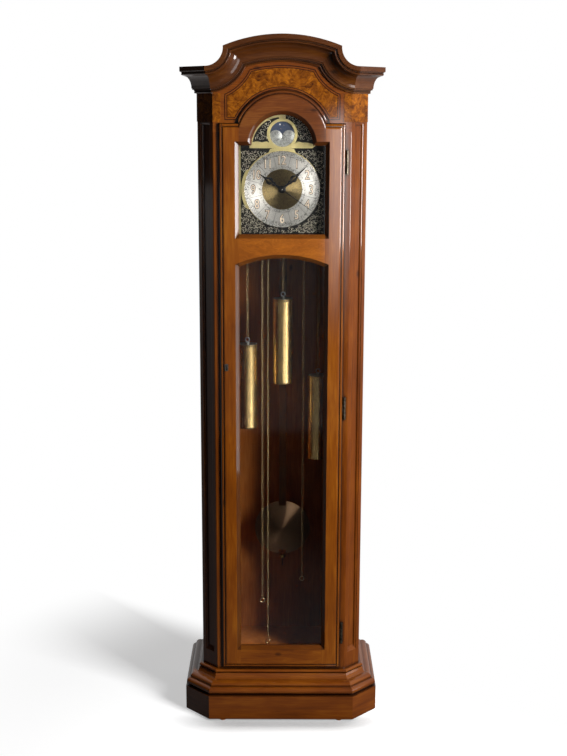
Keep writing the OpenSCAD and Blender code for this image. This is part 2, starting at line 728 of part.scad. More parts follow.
module door_lock() color(steel) {
  difference() {
    translate([lock_x - 8, -104, lock_z - 22]) cube([30, door_back + 104, 44]);
    translate([lock_x - 9, -100, lock_z - 4]) cube([28, 4, 8]);
    along_y(lock_x, lock_z + 3, -105, -101, 2);
  }
  // Escutcheon round the keyhole
  facing(door_front - 0.8, door_front) translate([lock_x, lock_z - 0.5]) difference() {
    intersection() {
      square([10, 21], center = true);
      circle(r = 10.5);
    }
    translate([0, 3.5]) circle(r = 2.2);
    translate([-1.2, -6.5]) square([2.4, 10]);
  }
}
module lock_bolt() color(brass) translate([-door_hw + lip + 0.3, -99.9, lock_z - 3.9]) cube([22, 3.8, 7.8]);

// A wheel with straight flanked teeth, drawn about its own centre. One tooth points along the turn.
module toothed(n, m, turn, crest = 0.16, root = 0.27) {
  rp = n * m / 2;
  ro = rp + 0.9 * m;
  rr = rp - 1.25 * m;
  w = 360 / n;
  polygon([for (i = [0:n - 1], c = [[rr, -root], [ro, -crest], [ro, crest], [rr, root]])
    let (a = turn + (i + c[1]) * w) c[0] * [cos(a), sin(a)]]);
}
module crossings(r0, r1, n = 5, arm = 6) difference() {
  circle(r = r1);
  circle(r = r0);
  for (i = [0:n - 1]) rotate(i * 360 / n) translate([0, -arm / 2]) square([r1 + 1, arm]);
}
module arbor(p, y0, y1, r = arbor_r) {
  along_y(p[0], p[1], y0 + plate_t + 0.5, y1 - plate_t - 0.5, r);
  along_y(p[0], p[1], y0 + 0.5, y1 - 0.5, pivot_r);
}
plates = [front_plate_y, back_plate_y + plate_t];
module great_wheel() color(brass) {
  facing(18, 21) translate(at_great) difference() {
    toothed(great_n, great_m, turn_great);
    crossings(12, 34);
  }
  arbor(at_great, plates[0], plates[1]);
}
module intermediate_wheel() color(brass) {
  facing(-5, -2) translate(at_inter) difference() {
    toothed(inter_n, inter_m, turn_inter);
    crossings(9, 26);
  }
  facing(15, 24) translate(at_inter) toothed(inter_pn, great_m, turn_inter_p, 0.12, 0.22);
  arbor(at_inter, plates[0], plates[1], 2);
}
// The centre arbor is a tube: it carries the minute hand, and the seconds arbor runs inside it.
tube_r = 3;
fast_r = 1.2;
module centre_wheel() color(brass) difference() {
  union() {
    facing(-15, -13) translate(at_centre) difference() {
      toothed(centre_n, centre_m, turn_centre);
      crossings(8, 22);
    }
    facing(-7.5, 0.5) translate(at_centre) toothed(centre_pn, inter_m, turn_centre_p, 0.12, 0.22);
    facing(-37, -34) translate(at_centre) toothed(cannon_n, cannon_m, turn_cannon, 0.12, 0.22);
    along_y(0, dial_z, -81.5, 19, tube_r);
  }
  along_y(0, dial_z, -90, 30, fast_r + 0.08);
}
module third_wheel() color(brass) {
  facing(29, 31) translate(at_third) difference() {
    toothed(third_n, third_m, turn_third);
    crossings(7, 21);
  }
  facing(-18, -10) translate(at_third) toothed(third_pn, centre_m, turn_third_p, 0.1, 0.2);
  arbor(at_third, plates[0], plates[1], 1.8);
}
module escape_wheel() color(brass) {
  facing(49, 51) translate(at_escape) difference() {
    polygon([for (i = [0:escape_n - 1], c = [[escape_r - 4, 0], [escape_r, 0.28], [escape_r, 0.36], [escape_r - 4, 0.62]])
      let (a = (i + c[1]) * 360 / escape_n) c[0] * [cos(a), sin(a)]]);
    crossings(5, 12.5, 4, 4);
  }
  facing(26, 34) translate(at_escape) toothed(fast_pn, third_m, turn_escape_p, 0.1, 0.2);
  along_y(at_escape[0], at_escape[1], front_plate_y + plate_t + 0.5, back_plate_y - 0.5, 1.8);
  along_y(at_escape[0], at_escape[1], front_plate_y + 0.5, 52, pivot_r);
}
// Anchor with its two pallets drawn clear of the wheel, its arbor and the crutch with a fork.
pallet_gap = 1.5;
module pallet_anchor() color(steel) {
  lean = bearing(at_pallet, at_escape);
  away = norm(at_escape - at_pallet);
  facing(49, 51) translate(at_pallet) rotate(lean) difference() {
    intersection() {
      translate([-4, -23]) square([away - 8, 46]);
      circle(r = 25);
    }
    translate([away, 0]) circle(r = escape_r + pallet_gap);
    translate([24, 0]) circle(r = 17);
  }
  along_y(at_pallet[0], at_pallet[1], 45, 64.5, 3);
  along_y(at_pallet[0], at_pallet[1], back_plate_y + 0.5, cross_y + 3.5, pivot_r);
  translate([pendulum_x - 3, 57, pivot_z - 66]) cube([6, 2.5, 66]);
  translate([pendulum_x - 14, 57, pivot_z - 66]) cube([28, 2.5, 8]);
  for (x = [-14, 12]) translate([pendulum_x + x, 57, pivot_z - 66]) cube([2, 40, 8]);
}

// Hands, drawn pointing to twelve about the dial centre, and turned to their hour.
module turned(a) translate([0, 0, dial_z]) rotate([0, a, 0]) translate([0, 0, -dial_z]) children();
module hand_shape(length, swell, hub) translate(at_centre) {
  circle(r = hub);
  polygon([[-1.8, 0], [-1.4, length * 0.3], [-swell * 0.45, length * 0.4], [-1.4, length * 0.5], [-swell, length * 0.62],
    [-1.6, length * 0.76], [0, length], [1.6, length * 0.76], [swell, length * 0.62], [1.4, length * 0.5],
    [swell * 0.45, length * 0.4], [1.4, length * 0.3], [1.8, 0]]);
}
module minute_hand() color(black) facing(-81.2, -80) difference() {
  rotate_about(minute_a) hand_shape(97, 7, 7);
  pivot_hole(at_centre, tube_r - fit);
}
module rotate_about(a) translate(at_centre) rotate(-a) translate(-at_centre) children();
module hour_hand() color(black) facing(-78, -76.6) difference() {
  rotate_about(hour_a) hand_shape(80, 10, 9);
  pivot_hole(at_centre, 5 - fit);
}
module hour_wheel() color(brass) difference() {
  union() {
    facing(-42, -39) translate(at_centre) toothed(hour_n, hour_m, turn_hour);
    along_y(0, dial_z, -78.6, -39, 5);
  }
  along_y(0, dial_z, -91, -31, tube_r + 0.08);
}
module minute_wheel() color(brass) difference() {
  union() {
    facing(-37, -34) translate(at_minute) toothed(minute_n, cannon_m, turn_minute);
    facing(-44, -34) translate(at_minute) toothed(minute_pn, hour_m, turn_minute_p, 0.12, 0.22);
  }
  along_y(at_minute[0], at_minute[1], -51, -29, pivot_r + fit);
}
module seconds_hand() color(black) {
  facing(-84.6, -84) rotate_about(second_a) translate(at_centre) {
    circle(r = 4);
    polygon([[-1.6, -30], [1.6, -30], [0.5, 104], [-0.5, 104]]);
  }
  along_y(0, dial_z, -85.4, -82.4, 3);
  along_y(0, dial_z, -84, back_plate_y + plate_t - 0.5, fast_r);
  facing(26, 34) translate(at_centre) toothed(fast_pn, third_m, turn_second_p, 0.1, 0.2);
}
module moon_disc() color([0.2, 0.27, 0.4]) facing(-68, -66.6) translate(at_moon) difference() {
  polygon([for (i = [0:117], c = [[69, 0], [71, 0.5]]) let (a = (i + c[1]) * 360 / 118) c[0] * [cos(a), sin(a)]]);
  circle(r = 3 + fit);
}

// Chain sprockets. The outer two carry the great wheels of the strike and the chime.
module sprocket_body(p, bore) facing(chain_y - 7, chain_y + 7) translate(p) difference() {
  circle(r = 25.5);
  if (bore > 0) circle(r = bore);
}
module chain_groove(p) translate([p[0], chain_y, p[1]]) rotate([90, 0, 0])
  difference() {
    cylinder(h = 6, r = 30, center = true);
    cylinder(h = 8, r = sprocket_r - chain_r - 0.4, center = true);
  }
module side_sprocket(i, y) color(brass) {
  p = [sprocket_x[i], sprocket_z];
  difference() {
    sprocket_body(p, 0);
    chain_groove(p);
  }
  facing(y, y + 3) translate(p) difference() {
    toothed(84, 0.8, 0);
    crossings(10, 27);
  }
  arbor(p, plates[0], plates[1]);
}
module sprocket_left() side_sprocket(0, -11);
module sprocket_right() side_sprocket(2, 18);
module sprocket_centre() color(brass) difference() {
  sprocket_body(at_great, arbor_r + fit);
  chain_groove(at_great);
}

// A chain: its run to the weight, over the sprocket and down to the ring.
hook_h = 20;
module chain(i) color(steel) {
  left = min(weight_x[i], free_x[i]);
  for (e = [[weight_x[i], weight_top[i] + hook_h + 0.3], [free_x[i], ring_z[i] + 8.3]])
    translate([e[0], chain_y, e[1]]) cylinder(h = sprocket_z - e[1], r = chain_r);
  translate([left + sprocket_r, chain_y, sprocket_z]) rotate([90, 0, 0])
    rotate_extrude(angle = 180) translate([sprocket_r, 0]) circle(r = chain_r);
}
module chain_left() chain(0);
module chain_centre() chain(1);
module chain_right() chain(2);
module weight(i) color(brass) translate([weight_x[i], chain_y, weight_top[i]]) {
  translate([0, 0, -weight_h + 6]) cylinder(h = weight_h - 10, r = weight_r);
  translate([0, 0, -4]) cylinder(h = 4, r = weight_r + 0.6);
  translate([0, 0, -weight_h + 2]) cylinder(h = 4, r = weight_r + 0.6);
  translate([0, 0, -weight_h]) cylinder(h = 3, r = 6);
  cylinder(h = 6, r = 5);
  translate([0, 0, 12]) rotate([90, 0, 0]) rotate_extrude() translate([6, 0]) circle(r = 1.8);
}
module weight_left() weight(0);
module weight_centre() weight(1);
module weight_right() weight(2);
module chain_ring(i) color(brass) translate([free_x[i], chain_y, ring_z[i]]) rotate([90, 0, 0])
  rotate_extrude() translate([6.5, 0]) circle(r = 1.5);
module chain_ring_left() chain_ring(0);
module chain_ring_centre() chain_ring(1);
module chain_ring_right() chain_ring(2);

// Pendulum: hook, wooden rod, threaded end, bob and the nut that carries it.
rod_w = 22;
rod_t = 8;
rod_end = 452;
tip_z = 400;
nut_z = 428;
bob_t = 26;
module pendulum_rod() color(wood) {
  translate([pendulum_x - rod_w / 2, pendulum_y - rod_t / 2, rod_end]) cube([rod_w, rod_t, 1528 - rod_end]);
  translate([pendulum_x - 4, pendulum_y - 2, 1520]) cube([8, 4, pivot_z - 1520]);
  translate([pendulum_x, pendulum_y, tip_z]) cylinder(h = rod_end - tip_z + 5, r = 2);
}
// Lens shaped bob, turned about its axis.
module pendulum_bob() color(steel) {
  cap_r = (bob_r * bob_r + bob_t * bob_t / 4) / bob_t;
  edge_a = asin((bob_r - 1) / cap_r);
  side = [for (i = [0:16]) let (a = edge_a * i / 16) [cap_r * sin(a), cap_r * cos(a) - cap_r + bob_t / 2]];
  translate([pendulum_x, pendulum_y, bob_z]) difference() {
    rotate([90, 0, 0]) rotate_extrude($fn = 120)
      polygon(concat(side, [for (i = [16:-1:0]) [side[i][0], -side[i][1]]]));
    translate([-rod_w / 2, -rod_t / 2, -bob_r - 1]) cube([rod_w, rod_t, 2 * bob_r + 2]);
  }
}
module rating_nut() color(brass) translate([pendulum_x, pendulum_y, nut_z]) difference() {
  cylinder(h = 8, r = 10);
  translate([0, 0, -1]) cylinder(h = 10, r = 2 + fit);
}

plinth_block();
base_moulding();
case_floor();
glide_feet();
back_board();
side_panels();
corner_posts();
front_frame();
frieze_board();
burl_veneers();
cornice();
top_board();
seat_board();
front_plate();
back_plate();
plate_pillars();
dial_plate();
dial_mounts();
chapter_ring();
dial_centre();
gong_rods();
suspension_cock();
hinge_leaves_case();
door_stiles();
door_arch_rail();
door_mid_rail();
door_bottom_rail();
dial_glass();
trunk_glass();
door_lock();
lock_bolt();
hinge_leaves_door();
minute_hand();
centre_wheel();
hour_hand();
hour_wheel();
minute_wheel();
seconds_hand();
great_wheel();
intermediate_wheel();
third_wheel();
escape_wheel();
pallet_anchor();
pendulum_rod();
pendulum_bob();
rating_nut();
moon_disc();
sprocket_left();
sprocket_centre();
sprocket_right();
chain_left();
chain_centre();
chain_right();
weight_left();
weight_centre();
weight_right();
chain_ring_left();
chain_ring_centre();
chain_ring_right();
strike_hammers();
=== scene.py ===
import bmesh, bpy, functools, math
import numpy as np
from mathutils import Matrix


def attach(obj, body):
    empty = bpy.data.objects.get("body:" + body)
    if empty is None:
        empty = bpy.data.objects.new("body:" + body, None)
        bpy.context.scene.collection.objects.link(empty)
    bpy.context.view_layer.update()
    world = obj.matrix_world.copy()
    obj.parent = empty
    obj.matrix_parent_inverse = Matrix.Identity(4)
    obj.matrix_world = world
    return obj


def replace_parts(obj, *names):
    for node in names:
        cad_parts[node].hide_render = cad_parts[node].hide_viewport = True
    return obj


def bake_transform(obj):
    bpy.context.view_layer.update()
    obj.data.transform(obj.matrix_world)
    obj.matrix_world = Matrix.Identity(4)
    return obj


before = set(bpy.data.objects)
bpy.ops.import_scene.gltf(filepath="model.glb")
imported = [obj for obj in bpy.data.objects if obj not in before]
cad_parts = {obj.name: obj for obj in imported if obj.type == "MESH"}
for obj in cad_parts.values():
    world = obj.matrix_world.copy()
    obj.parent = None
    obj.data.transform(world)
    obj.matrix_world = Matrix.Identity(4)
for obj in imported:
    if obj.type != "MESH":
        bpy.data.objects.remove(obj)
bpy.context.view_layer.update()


# Plinth and base moulding. Mitred hardwood round a plain box, stained red-brown and lacquered
# to a high gloss. The moulding's grain runs along each length, and its quirks carry painted shade.
MM = 0.001


def linear(code):
    """Linear RGBA of an sRGB hex code: c/12.92 up to 0.04045, and above it ((c+0.055)/1.055)^2.4."""
    channels = [int(code[i:i + 2], 16) / 255 for i in (1, 3, 5)]
    return [c / 12.92 if c <= 0.04045 else ((c + 0.055) / 1.055) ** 2.4 for c in channels] + [1.0]


def add_node(tree, kind, inputs=(), stops=(), out=0, **settings):
    """Adds one shader node and returns its socket out, or all its outputs where out is None. inputs is a row
    from the first socket on, or a dict by name: a socket in it is linked to, anything else is a value."""
    made = tree.nodes.new("ShaderNode" + kind)
    for key, value in settings.items():
        setattr(made, key, value)
    for key, value in (inputs if isinstance(inputs, dict) else dict(enumerate(inputs))).items():
        if isinstance(value, bpy.types.NodeSocket):
            tree.links.new(value, made.inputs[key])
        else:
            made.inputs[key].default_value = value
    for i, (at, code) in enumerate(stops):
        ramp = made.color_ramp.elements
        step = ramp[i] if i < 2 else ramp.new(at)
        step.position, step.color = at, linear(code)
    return made.outputs if out is None else made.outputs[out]


def new_finish(name):
    """An empty node material, add_node for its tree, and the piece's own coordinates in metres."""
    finish = bpy.data.materials.new(name)
    finish.use_nodes = True
    finish.node_tree.nodes.clear()
    add = functools.partial(add_node, finish.node_tree)
    return finish, add, add("TexCoord", out="Object")


def show(add, inputs):
    """Ends a material in one Principled surface with these sockets."""
    add("OutputMaterial", {"Surface": add("BsdfPrincipled", inputs)}, out=None)


def lacquered_wood(name, grain, tones, clouding=1.0, hollow_shade=0.0, curl=0.0, gloss=1.0, shift=0.0, side_face_shade=0.0,
                   alone=True):
    """Stained hardwood under clear lacquer. The tone sums three noises drawn out along the grain: clouds of
    stain 70 mm across, growth bands 12 mm across and fibres 2.5 mm across. Knots are the cores of 2D cells.
    grain is X, Z or "round", the level line along a moulding: the place projected on Z x normal. glaze is
    painted shade: how much hollows darken by ambient occlusion, within this piece alone where alone is set,
    else also between pieces. edges is painted shade: how much faces that don't look forward darken."""
    finish, add, place = new_finish(name)
    axis = add("SeparateXYZ", [place], out=None)
    if grain == "round":
        facing = add("NewGeometry", out="True Normal")
        level = add("VectorMath", ((0, 0, 1), facing), operation="CROSS_PRODUCT")
        level = add("VectorMath", [level], operation="NORMALIZE")
        along = add("VectorMath", (place, level), out="Value", operation="DOT_PRODUCT")
        board = add("CombineXYZ", (axis["Z"], shift, along))
    else:
        board = add("CombineXYZ", (axis["Z" if grain == "X" else "X"], axis["Y"], axis[grain]))
    board = add("VectorMath", (board, (shift, shift, shift * 3)), operation="ADD")
    # The fibres wander by a few millimetres, and more where the wood is curly.
    slow = add("VectorMath", (board, (16, 16, 5 + 9 * curl)), operation="MULTIPLY")
    sway = add("TexNoise", {"Vector": slow, "Scale": 1.0, "Detail": 2.0}, out="Color")
    wander = 0.016 + 0.05 * curl
    board = add("VectorMath", (sway, (wander, wander, 0), board), operation="MULTIPLY_ADD")
    # Less clouding leaves the mean of the tone where it is.
    tone = 0.25 * (1 - clouding)
    for size, share, detail in (((13, 13, 5), 0.5 * clouding, 3.0), ((85, 85, 5 + 8 * curl), 0.2, 3.0),
                                ((420, 420, 14), 0.3, 2.0)):
        spread = add("VectorMath", (board, size), operation="MULTIPLY")
        fibre = add("TexNoise", {"Vector": spread, "Scale": 1.0, "Detail": detail})
        tone = add("Math", (fibre, share, tone), operation="MULTIPLY_ADD")
    stain = add("ValToRGB", [tone], stops=zip((0.3, 0.5, 0.7), tones))
    # Knots run through a board, so their cells leave its depth out.
    cells = add("VectorMath", (board, (4.6, 0, 2.3)), operation="MULTIPLY")
    cells = add("SeparateXYZ", [cells], out=None)
    cells = add("CombineXYZ", (cells[0], cells[2]))
    knots = add("TexVoronoi", {"Vector": cells, "Scale": 1.0}, out="Distance", voronoi_dimensions="2D")
    shade = add("MapRange", (knots, 0.008, 0.034, 0.42, 1.0), interpolation_type="SMOOTHSTEP")
    # Painted shade: hollows that ambient occlusion finds within 11 mm are darkened.
    if hollow_shade:
        painted_hollow_shade = add("AmbientOcclusion", {"Distance": 0.011}, out="AO", samples=6, only_local=alone)
        painted_hollow_shade = add("MapRange", (painted_hollow_shade, 0.5, 0.95, 1.0 - hollow_shade, 1.0))
        shade = add("Math", (shade, painted_hollow_shade), operation="MULTIPLY")
    # Painted shade: faces that turn away from the front are darkened.
    if side_face_shade:
        facing = add("NewGeometry", out="True Normal")
        facing = add("VectorTransform", [facing], vector_type="NORMAL", convert_from="WORLD",
                     convert_to="OBJECT")
        forward = add("SeparateXYZ", [facing], out=1)
        forward = add("Math", [forward], operation="ABSOLUTE")
        forward = add("MapRange", (forward, 0.6, 0.95, 1.0 - side_face_shade, 1.0))
        shade = add("Math", (shade, forward), operation="MULTIPLY")
    colour = add("Mix", {0: 1.0, 6: stain, 7: shade}, out=2, data_type="RGBA", blend_type="MULTIPLY")
    rough = add("MapRange", (fibre, 0.0, 1.0, 0.46, 0.34))
    bump = add("Bump", {"Height": fibre, "Strength": 0.12, "Distance": 0.0003})
    show(add, {"Base Color": colour, "Roughness": rough, "Normal": bump, "Specular IOR Level": 0.1,
               "Coat Weight": 0.7 * gloss, "Coat Roughness": 0.06, "Coat IOR": 1.5})
    return finish


def dress(finish, *nodes):
    """Gives CAD nodes their finish."""
    for name in nodes:
        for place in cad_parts[name].material_slots:
            place.material = finish


case_tones = ("#461D02", "#673104", "#82470C")
plinth_wood = lacquered_wood("lacquered cherry stained hardwood, level grain", "round", case_tones,
                             hollow_shade=0.85, alone=False)
dress(plinth_wood, "plinth_block", "base_moulding")

# Feet: four short turned blocks under the plinth, pale wood under a thin varnish. They lift the
# case 5 mm off the floor, and two of them show as light specks under the plinth's front edge.
foot_wood = lacquered_wood("varnished pale wood", "Z", ("#7A4418", "#A0602A", "#BE7E42"), gloss=0.3)
dress(foot_wood, "glide_feet")

# Trunk: side panels, canted corner posts with a long sunken field, and the front frame that the
# door shuts against. Straight-grained boards, glued up and lacquered like the plinth.
# Painted shade darkens its hollows, and places between pieces such as the frame beside the proud door.
upright_wood = lacquered_wood("lacquered cherry stained hardwood, upright grain", "Z", case_tones,
                              hollow_shade=0.75, shift=0.7, alone=False)
dress(upright_wood, "side_panels", "corner_posts", "front_frame")

# Inside boards: the back, the floor, the seat that carries the movement, and the top. Plain board,
# stained like the case and only thinly varnished, so that it stays dull in the shadow.
board_tones = ("#743C16", "#985824", "#B87438")
inner_wood = lacquered_wood("thinly varnished dark stained board", "Z", board_tones, gloss=0.15, shift=1.9)
dress(inner_wood, "back_board", "case_floor", "seat_board", "top_board")

# Frieze: a burl panel between the cornice and the door's arch, in a bead, and burl tablets on the
# canted corners. Burl is cut from a knotty growth: its fibres turn round small dark eyes.
# Painted shade darkens the frieze's hollows and its faces that turn from the front.
frieze_wood = lacquered_wood("lacquered cherry stained hardwood, frieze", "X", case_tones, hollow_shade=0.9,
                             shift=2.6, side_face_shade=0.5)
dress(frieze_wood, "frieze_board")


def burl_veneer(name):
    """Burl veneer under lacquer: fine fibres bent by a slow noise 30 mm across, and small dark eyes, about
    5 mm across as in the real veneer, that are the cores of cells 24 mm across."""
    finish, add, place = new_finish(name)
    slow = add("TexNoise", {"Vector": place, "Scale": 26.0, "Detail": 2.0}, out="Color")
    bent = add("VectorMath", (slow, (0.07, 0.07, 0.07), place), operation="MULTIPLY_ADD")
    swirl = add("VectorMath", (bent, (60, 60, 150)), operation="MULTIPLY")
    swirl = add("TexNoise", {"Vector": swirl, "Scale": 1.0, "Detail": 5.0, "Roughness": 0.65})
    mottle = add("TexNoise", {"Vector": bent, "Scale": 45.0, "Detail": 3.0})
    tone = add("Math", (swirl, 0.6), operation="MULTIPLY")
    tone = add("Math", (mottle, 0.4, tone), operation="MULTIPLY_ADD")
    veneer = add("ValToRGB", [tone], stops=((0.34, "#3A1702"), (0.5, "#6E3A06"), (0.64, "#9A590E")))
    eyes = add("TexVoronoi", {"Vector": bent, "Scale": 42.0}, out="Distance")
    core = add("MapRange", (eyes, 0.05, 0.16, 0.35, 1.0), interpolation_type="SMOOTHSTEP")
    colour = add("Mix", {0: 1.0, 6: veneer, 7: core}, out=2, data_type="RGBA", blend_type="MULTIPLY")
    bump = add("Bump", {"Height": tone, "Strength": 0.1, "Distance": 0.0004})
    show(add, {"Base Color": colour, "Roughness": 0.42, "Normal": bump, "Specular IOR Level": 0.06,
               "Coat Weight": 0.3, "Coat Roughness": 0.06, "Coat IOR": 1.5})
    return finish


dress(burl_veneer("lacquered burl veneer"), "burl_veneers")

# Cornice: one crown moulding that sweeps from the flat shoulders over the arch and returns along
# both sides. It is run in short lengths and mitred, and its quirks carry painted shade.
crown_tones = ("#2E1503", "#472307", "#5E3712")
crown_wood = lacquered_wood("lacquered cherry stained hardwood, crown", "X", crown_tones, hollow_shade=0.85,
                            shift=3.3)
dress(crown_wood, "cornice")

# Door: two stiles, an arched top rail, a rail between the dial and the trunk, and a bottom rail,
# tenoned together, rounded at the outer edge and bevelled round both panes.
door_tones = ("#4E2203", "#743B06", "#935612")
# Painted shade darkens the door's hollows and its faces that turn from the front, such as the bevels round
# the panes.
stile_wood = lacquered_wood("lacquered door wood, upright grain", "Z", door_tones, clouding=0.9, hollow_shade=0.7,
                            shift=4.2, side_face_shade=0.9)
rail_wood = lacquered_wood("lacquered door wood, level grain", "X", door_tones, clouding=1.1, curl=0.15,
                           hollow_shade=0.7, shift=5.1, side_face_shade=0.6)
curly_wood = lacquered_wood("lacquered curly figured wood", "X", ("#5E2C05", "#86480B", "#A86418"), curl=1.0,
                            shift=6.4, side_face_shade=0.6)
arch_wood = lacquered_wood("lacquered door wood, arched rail", "X", ("#3E1D08", "#5F300F", "#7C4A1C"),
                           clouding=1.1, curl=0.15, hollow_shade=0.7, shift=8.3, side_face_shade=0.6)
dress(stile_wood, "door_stiles")
dress(arch_wood, "door_arch_rail")
dress(curly_wood, "door_mid_rail")
dress(rail_wood, "door_bottom_rail")

# Panes: clear float glass 3 mm thick, one before the dial and one before the weights. They are
# let into the back of the door, and show by their reflections alone.
pane, add, place = new_finish("clear float glass")
path = add("LightPath", out=None)
passing = add("Math", (path["Is Shadow Ray"], path["Is Diffuse Ray"]), operation="MAXIMUM")
sheet = add("BsdfPrincipled", {"Base Color": linear("#F8F7F5"), "Roughness": 0.0, "IOR": 1.5,
                               "Transmission Weight": 1.0})
clear = add("BsdfTransparent", {"Color": linear("#FAF9F7")})
add("OutputMaterial", {"Surface": add("MixShader", (passing, sheet, clear))}, out=None)
dress(pane, "dial_glass", "trunk_glass")


# Hinges and lock. Brass hinge leaves gone brown, let into the door's right edge, with barrels that
# are rubbed bright, and a steel lock with a thin escutcheon round the keyhole on the left stile.
def metal(name, colour, rough, wear=0.12, scale=900.0, streak=(1, 1, 1), **sockets):
    """A bare or lacquered metal. Its roughness varies by wear over a noise of the given scale per metre,
    drawn out by streak where the surface was brushed, and the same noise gives the lines their bump."""
    finish, add, place = new_finish(name)
    lay = add("VectorMath", (place, streak), operation="MULTIPLY")
    lines = add("TexNoise", {"Vector": lay, "Scale": scale, "Detail": 2.0})
    level = add("MapRange", (lines, 0.0, 1.0, max(rough - wear, 0.03), rough + wear))
    bump = add("Bump", {"Height": lines, "Strength": 0.06, "Distance": 0.0002})
    tarnish = add("TexNoise", {"Vector": place, "Scale": 30.0, "Detail": 4.0})
    shade = add("MapRange", (tarnish, 0.3, 0.7, 0.82, 1.0))
    tint = add("Mix", {0: 1.0, 6: linear(colour), 7: shade}, out=2, data_type="RGBA", blend_type="MULTIPLY")
    show(add, {"Base Color": tint, "Metallic": 1.0, "Roughness": level, "Normal": bump} | sockets)
    return finish


HINGE_AXIS, BARREL_R = (0.1815, -0.1075, 0), 0.0042
hinge_brass, add, place = new_finish("aged brass hinge, barrel rubbed bright")
arm = add("VectorMath", (place, HINGE_AXIS), operation="SUBTRACT")
arm = add("VectorMath", (arm, (1, 1, 0)), operation="MULTIPLY")
arm = add("VectorMath", [arm], out="Value", operation="LENGTH")
rubbed = add("MapRange", (arm, BARREL_R + 0.0003, BARREL_R))
patina = add("TexNoise", {"Vector": place, "Scale": 220.0, "Detail": 4.0})
bright = add("ValToRGB", [patina], stops=((0.35, "#3A3128"), (0.65, "#6E6556")))
brown = add("Mix", {0: rubbed, 6: linear("#2A180E"), 7: bright}, out=2, data_type="RGBA")
bare = add("MapRange", (rubbed, 0.0, 1.0, 0.2, 1.0))
show(add, {"Base Color": brown, "Metallic": bare, "Roughness": 0.36})
lock_brass = metal("brown aged brass", "#3C3226", 0.4)
lock_steel = metal("grey mild steel", "#6C6862", 0.38)
dress(hinge_brass, "hinge_leaves_case", "hinge_leaves_door")
dress(lock_brass, "lock_bolt")
dress(lock_steel, "door_lock")

# Movement: brass plates and pillars with the going train between them, sprockets for the three
# chains, a steel pallet anchor and hammers, and five gong rods. Cut from sheet, turned and polished.
clock_brass = metal("polished clock brass", "#C8A45A", 0.22, streak=(1, 1, 0.1), scale=700.0)
turned_steel = metal("turned tool steel", "#8E8E90", 0.3)
dress(clock_brass, "front_plate", "back_plate", "plate_pillars", "suspension_cock", "centre_wheel",
      "hour_wheel", "minute_wheel", "great_wheel", "intermediate_wheel", "third_wheel", "escape_wheel",
      "sprocket_left", "sprocket_centre", "sprocket_right")
dress(turned_steel, "gong_rods", "pallet_anchor", "strike_hammers")

# Dial plate: a sheet of satin brass with an arch over its top edge, lacquered and held by four
# feet on the movement. It shows as a border round the castings.
DIAL_Z, MOON_Z, ARCH_Z = 1581.0, 1734.6, 1702.0
PLATE_Y = -71.0
satin_brass = metal("satin lacquered brass", "#BDB07C", 0.46, scale=1500.0)
dress(satin_brass, "dial_plate")


# Brass band over the dial: a crescent round the left of the arch, a scalloped bar above the hours,
# the ring that frames the moon, and thin crescents round the chapter ring. Cut from flat sheet.
def add_object(name, data):
    """A mesh, a lamp or the camera as an object in the scene."""
    made = bpy.data.objects.new(name, data)
    bpy.context.scene.collection.objects.link(made)
    return made


def clean_mesh(mesh):
    """Joins the points that share a place, and turns every face outwards."""
    shape = bmesh.new()
    shape.from_mesh(mesh)
    bmesh.ops.remove_doubles(shape, verts=shape.verts, dist=1e-7)
    bmesh.ops.recalc_face_normals(shape, faces=shape.faces)
    shape.to_mesh(mesh)
    shape.free()


def add_piece(name, points, finish, body, close=False, turn=30.0, bevel=0.0):
    """A mesh from grids of points in millimetres, shaped copies x rows x columns x 3. Each grid is a tube:
    columns run round it, rows along it, and close joins its last row to its first where it isn't capped.
    Edges that turn by more than turn degrees stay sharp, and bevel rounds them by that many millimetres."""
    points = np.asarray(points, float)
    copies, rows, columns = points.reshape((-1,) + points.shape[-3:]).shape[:3]
    row = np.arange(rows if close else rows - 1)[:, None] * columns
    column, beside = np.arange(columns), (np.arange(columns) + 1) % columns
    ahead = (row + columns) % (rows * columns)
    quads = np.stack([row + column, row + beside, ahead + beside, ahead + column], -1).reshape(-1, 4)
    start = np.arange(copies)[:, None, None] * rows * columns
    faces = (quads + start).reshape(-1, 4).tolist()
    if not close:
        ends = np.stack([column[::-1], column + (rows - 1) * columns])
        faces += (ends + start).reshape(-1, columns).tolist()
    mesh = bpy.data.meshes.new(name)
    mesh.from_pydata((points.reshape(-1, 3) * MM).tolist(), [], faces)
    clean_mesh(mesh)
    mesh.shade_smooth()
    mesh.set_sharp_from_angle(angle=math.radians(turn))
    mesh.materials.append(finish)
    piece = add_object(name, mesh)
    if bevel:
        rim = piece.modifiers.new("arris", "BEVEL")
        rim.width, rim.segments, rim.limit_method = bevel * MM, 2, "ANGLE"
    if body:
        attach(piece, body)
    return piece


def flat_band(inner, outer, front, back):
    """A flat strip of sheet between two curves in X and Z: four columns, front and back of each curve."""
    lines = ((inner, front), (outer, front), (outer, back), (inner, back))
    return np.stack([np.stack([edge[:, 0], np.full(len(edge), y), edge[:, 1]], -1) for edge, y in lines], 1)


def arc(x, z, r, a0, a1, n=48):
    """Points round a centre, at clock angles in degrees: x + r sin a, z + r cos a."""
    a = np.radians(np.linspace(a0, a1, n))
    return np.stack([x + r * np.sin(a), z + r * np.cos(a)], -1)


def circle(z, r):
    """A circle of 96 points round x = 0 at the height z."""
    return arc(0, z, r, 0, 360, 97)[:-1]


def level(x, z):
    """Points at the places x along X, and at a height z that is one for all or one each."""
    return np.stack(np.broadcast_arrays(x, z), -1)


SHEET_Y = -73.0
MOON_FRAME_R = 43.0
# The bar is scalloped beyond 40 mm from its middle, steps down to the right, and ends in a point there.
bar = np.linspace(-92, 96, 95)
scallop = 2.4 * np.abs(np.sin(bar / 9.0)) * (np.abs(bar) > 40)
bar_top = 1711.5 - 5.0 * np.clip((bar - 52) / 40, 0, 1) + scallop
bar_low = 1695.5 + 9.0 * np.clip((bar - 84) / 12, 0, 1)
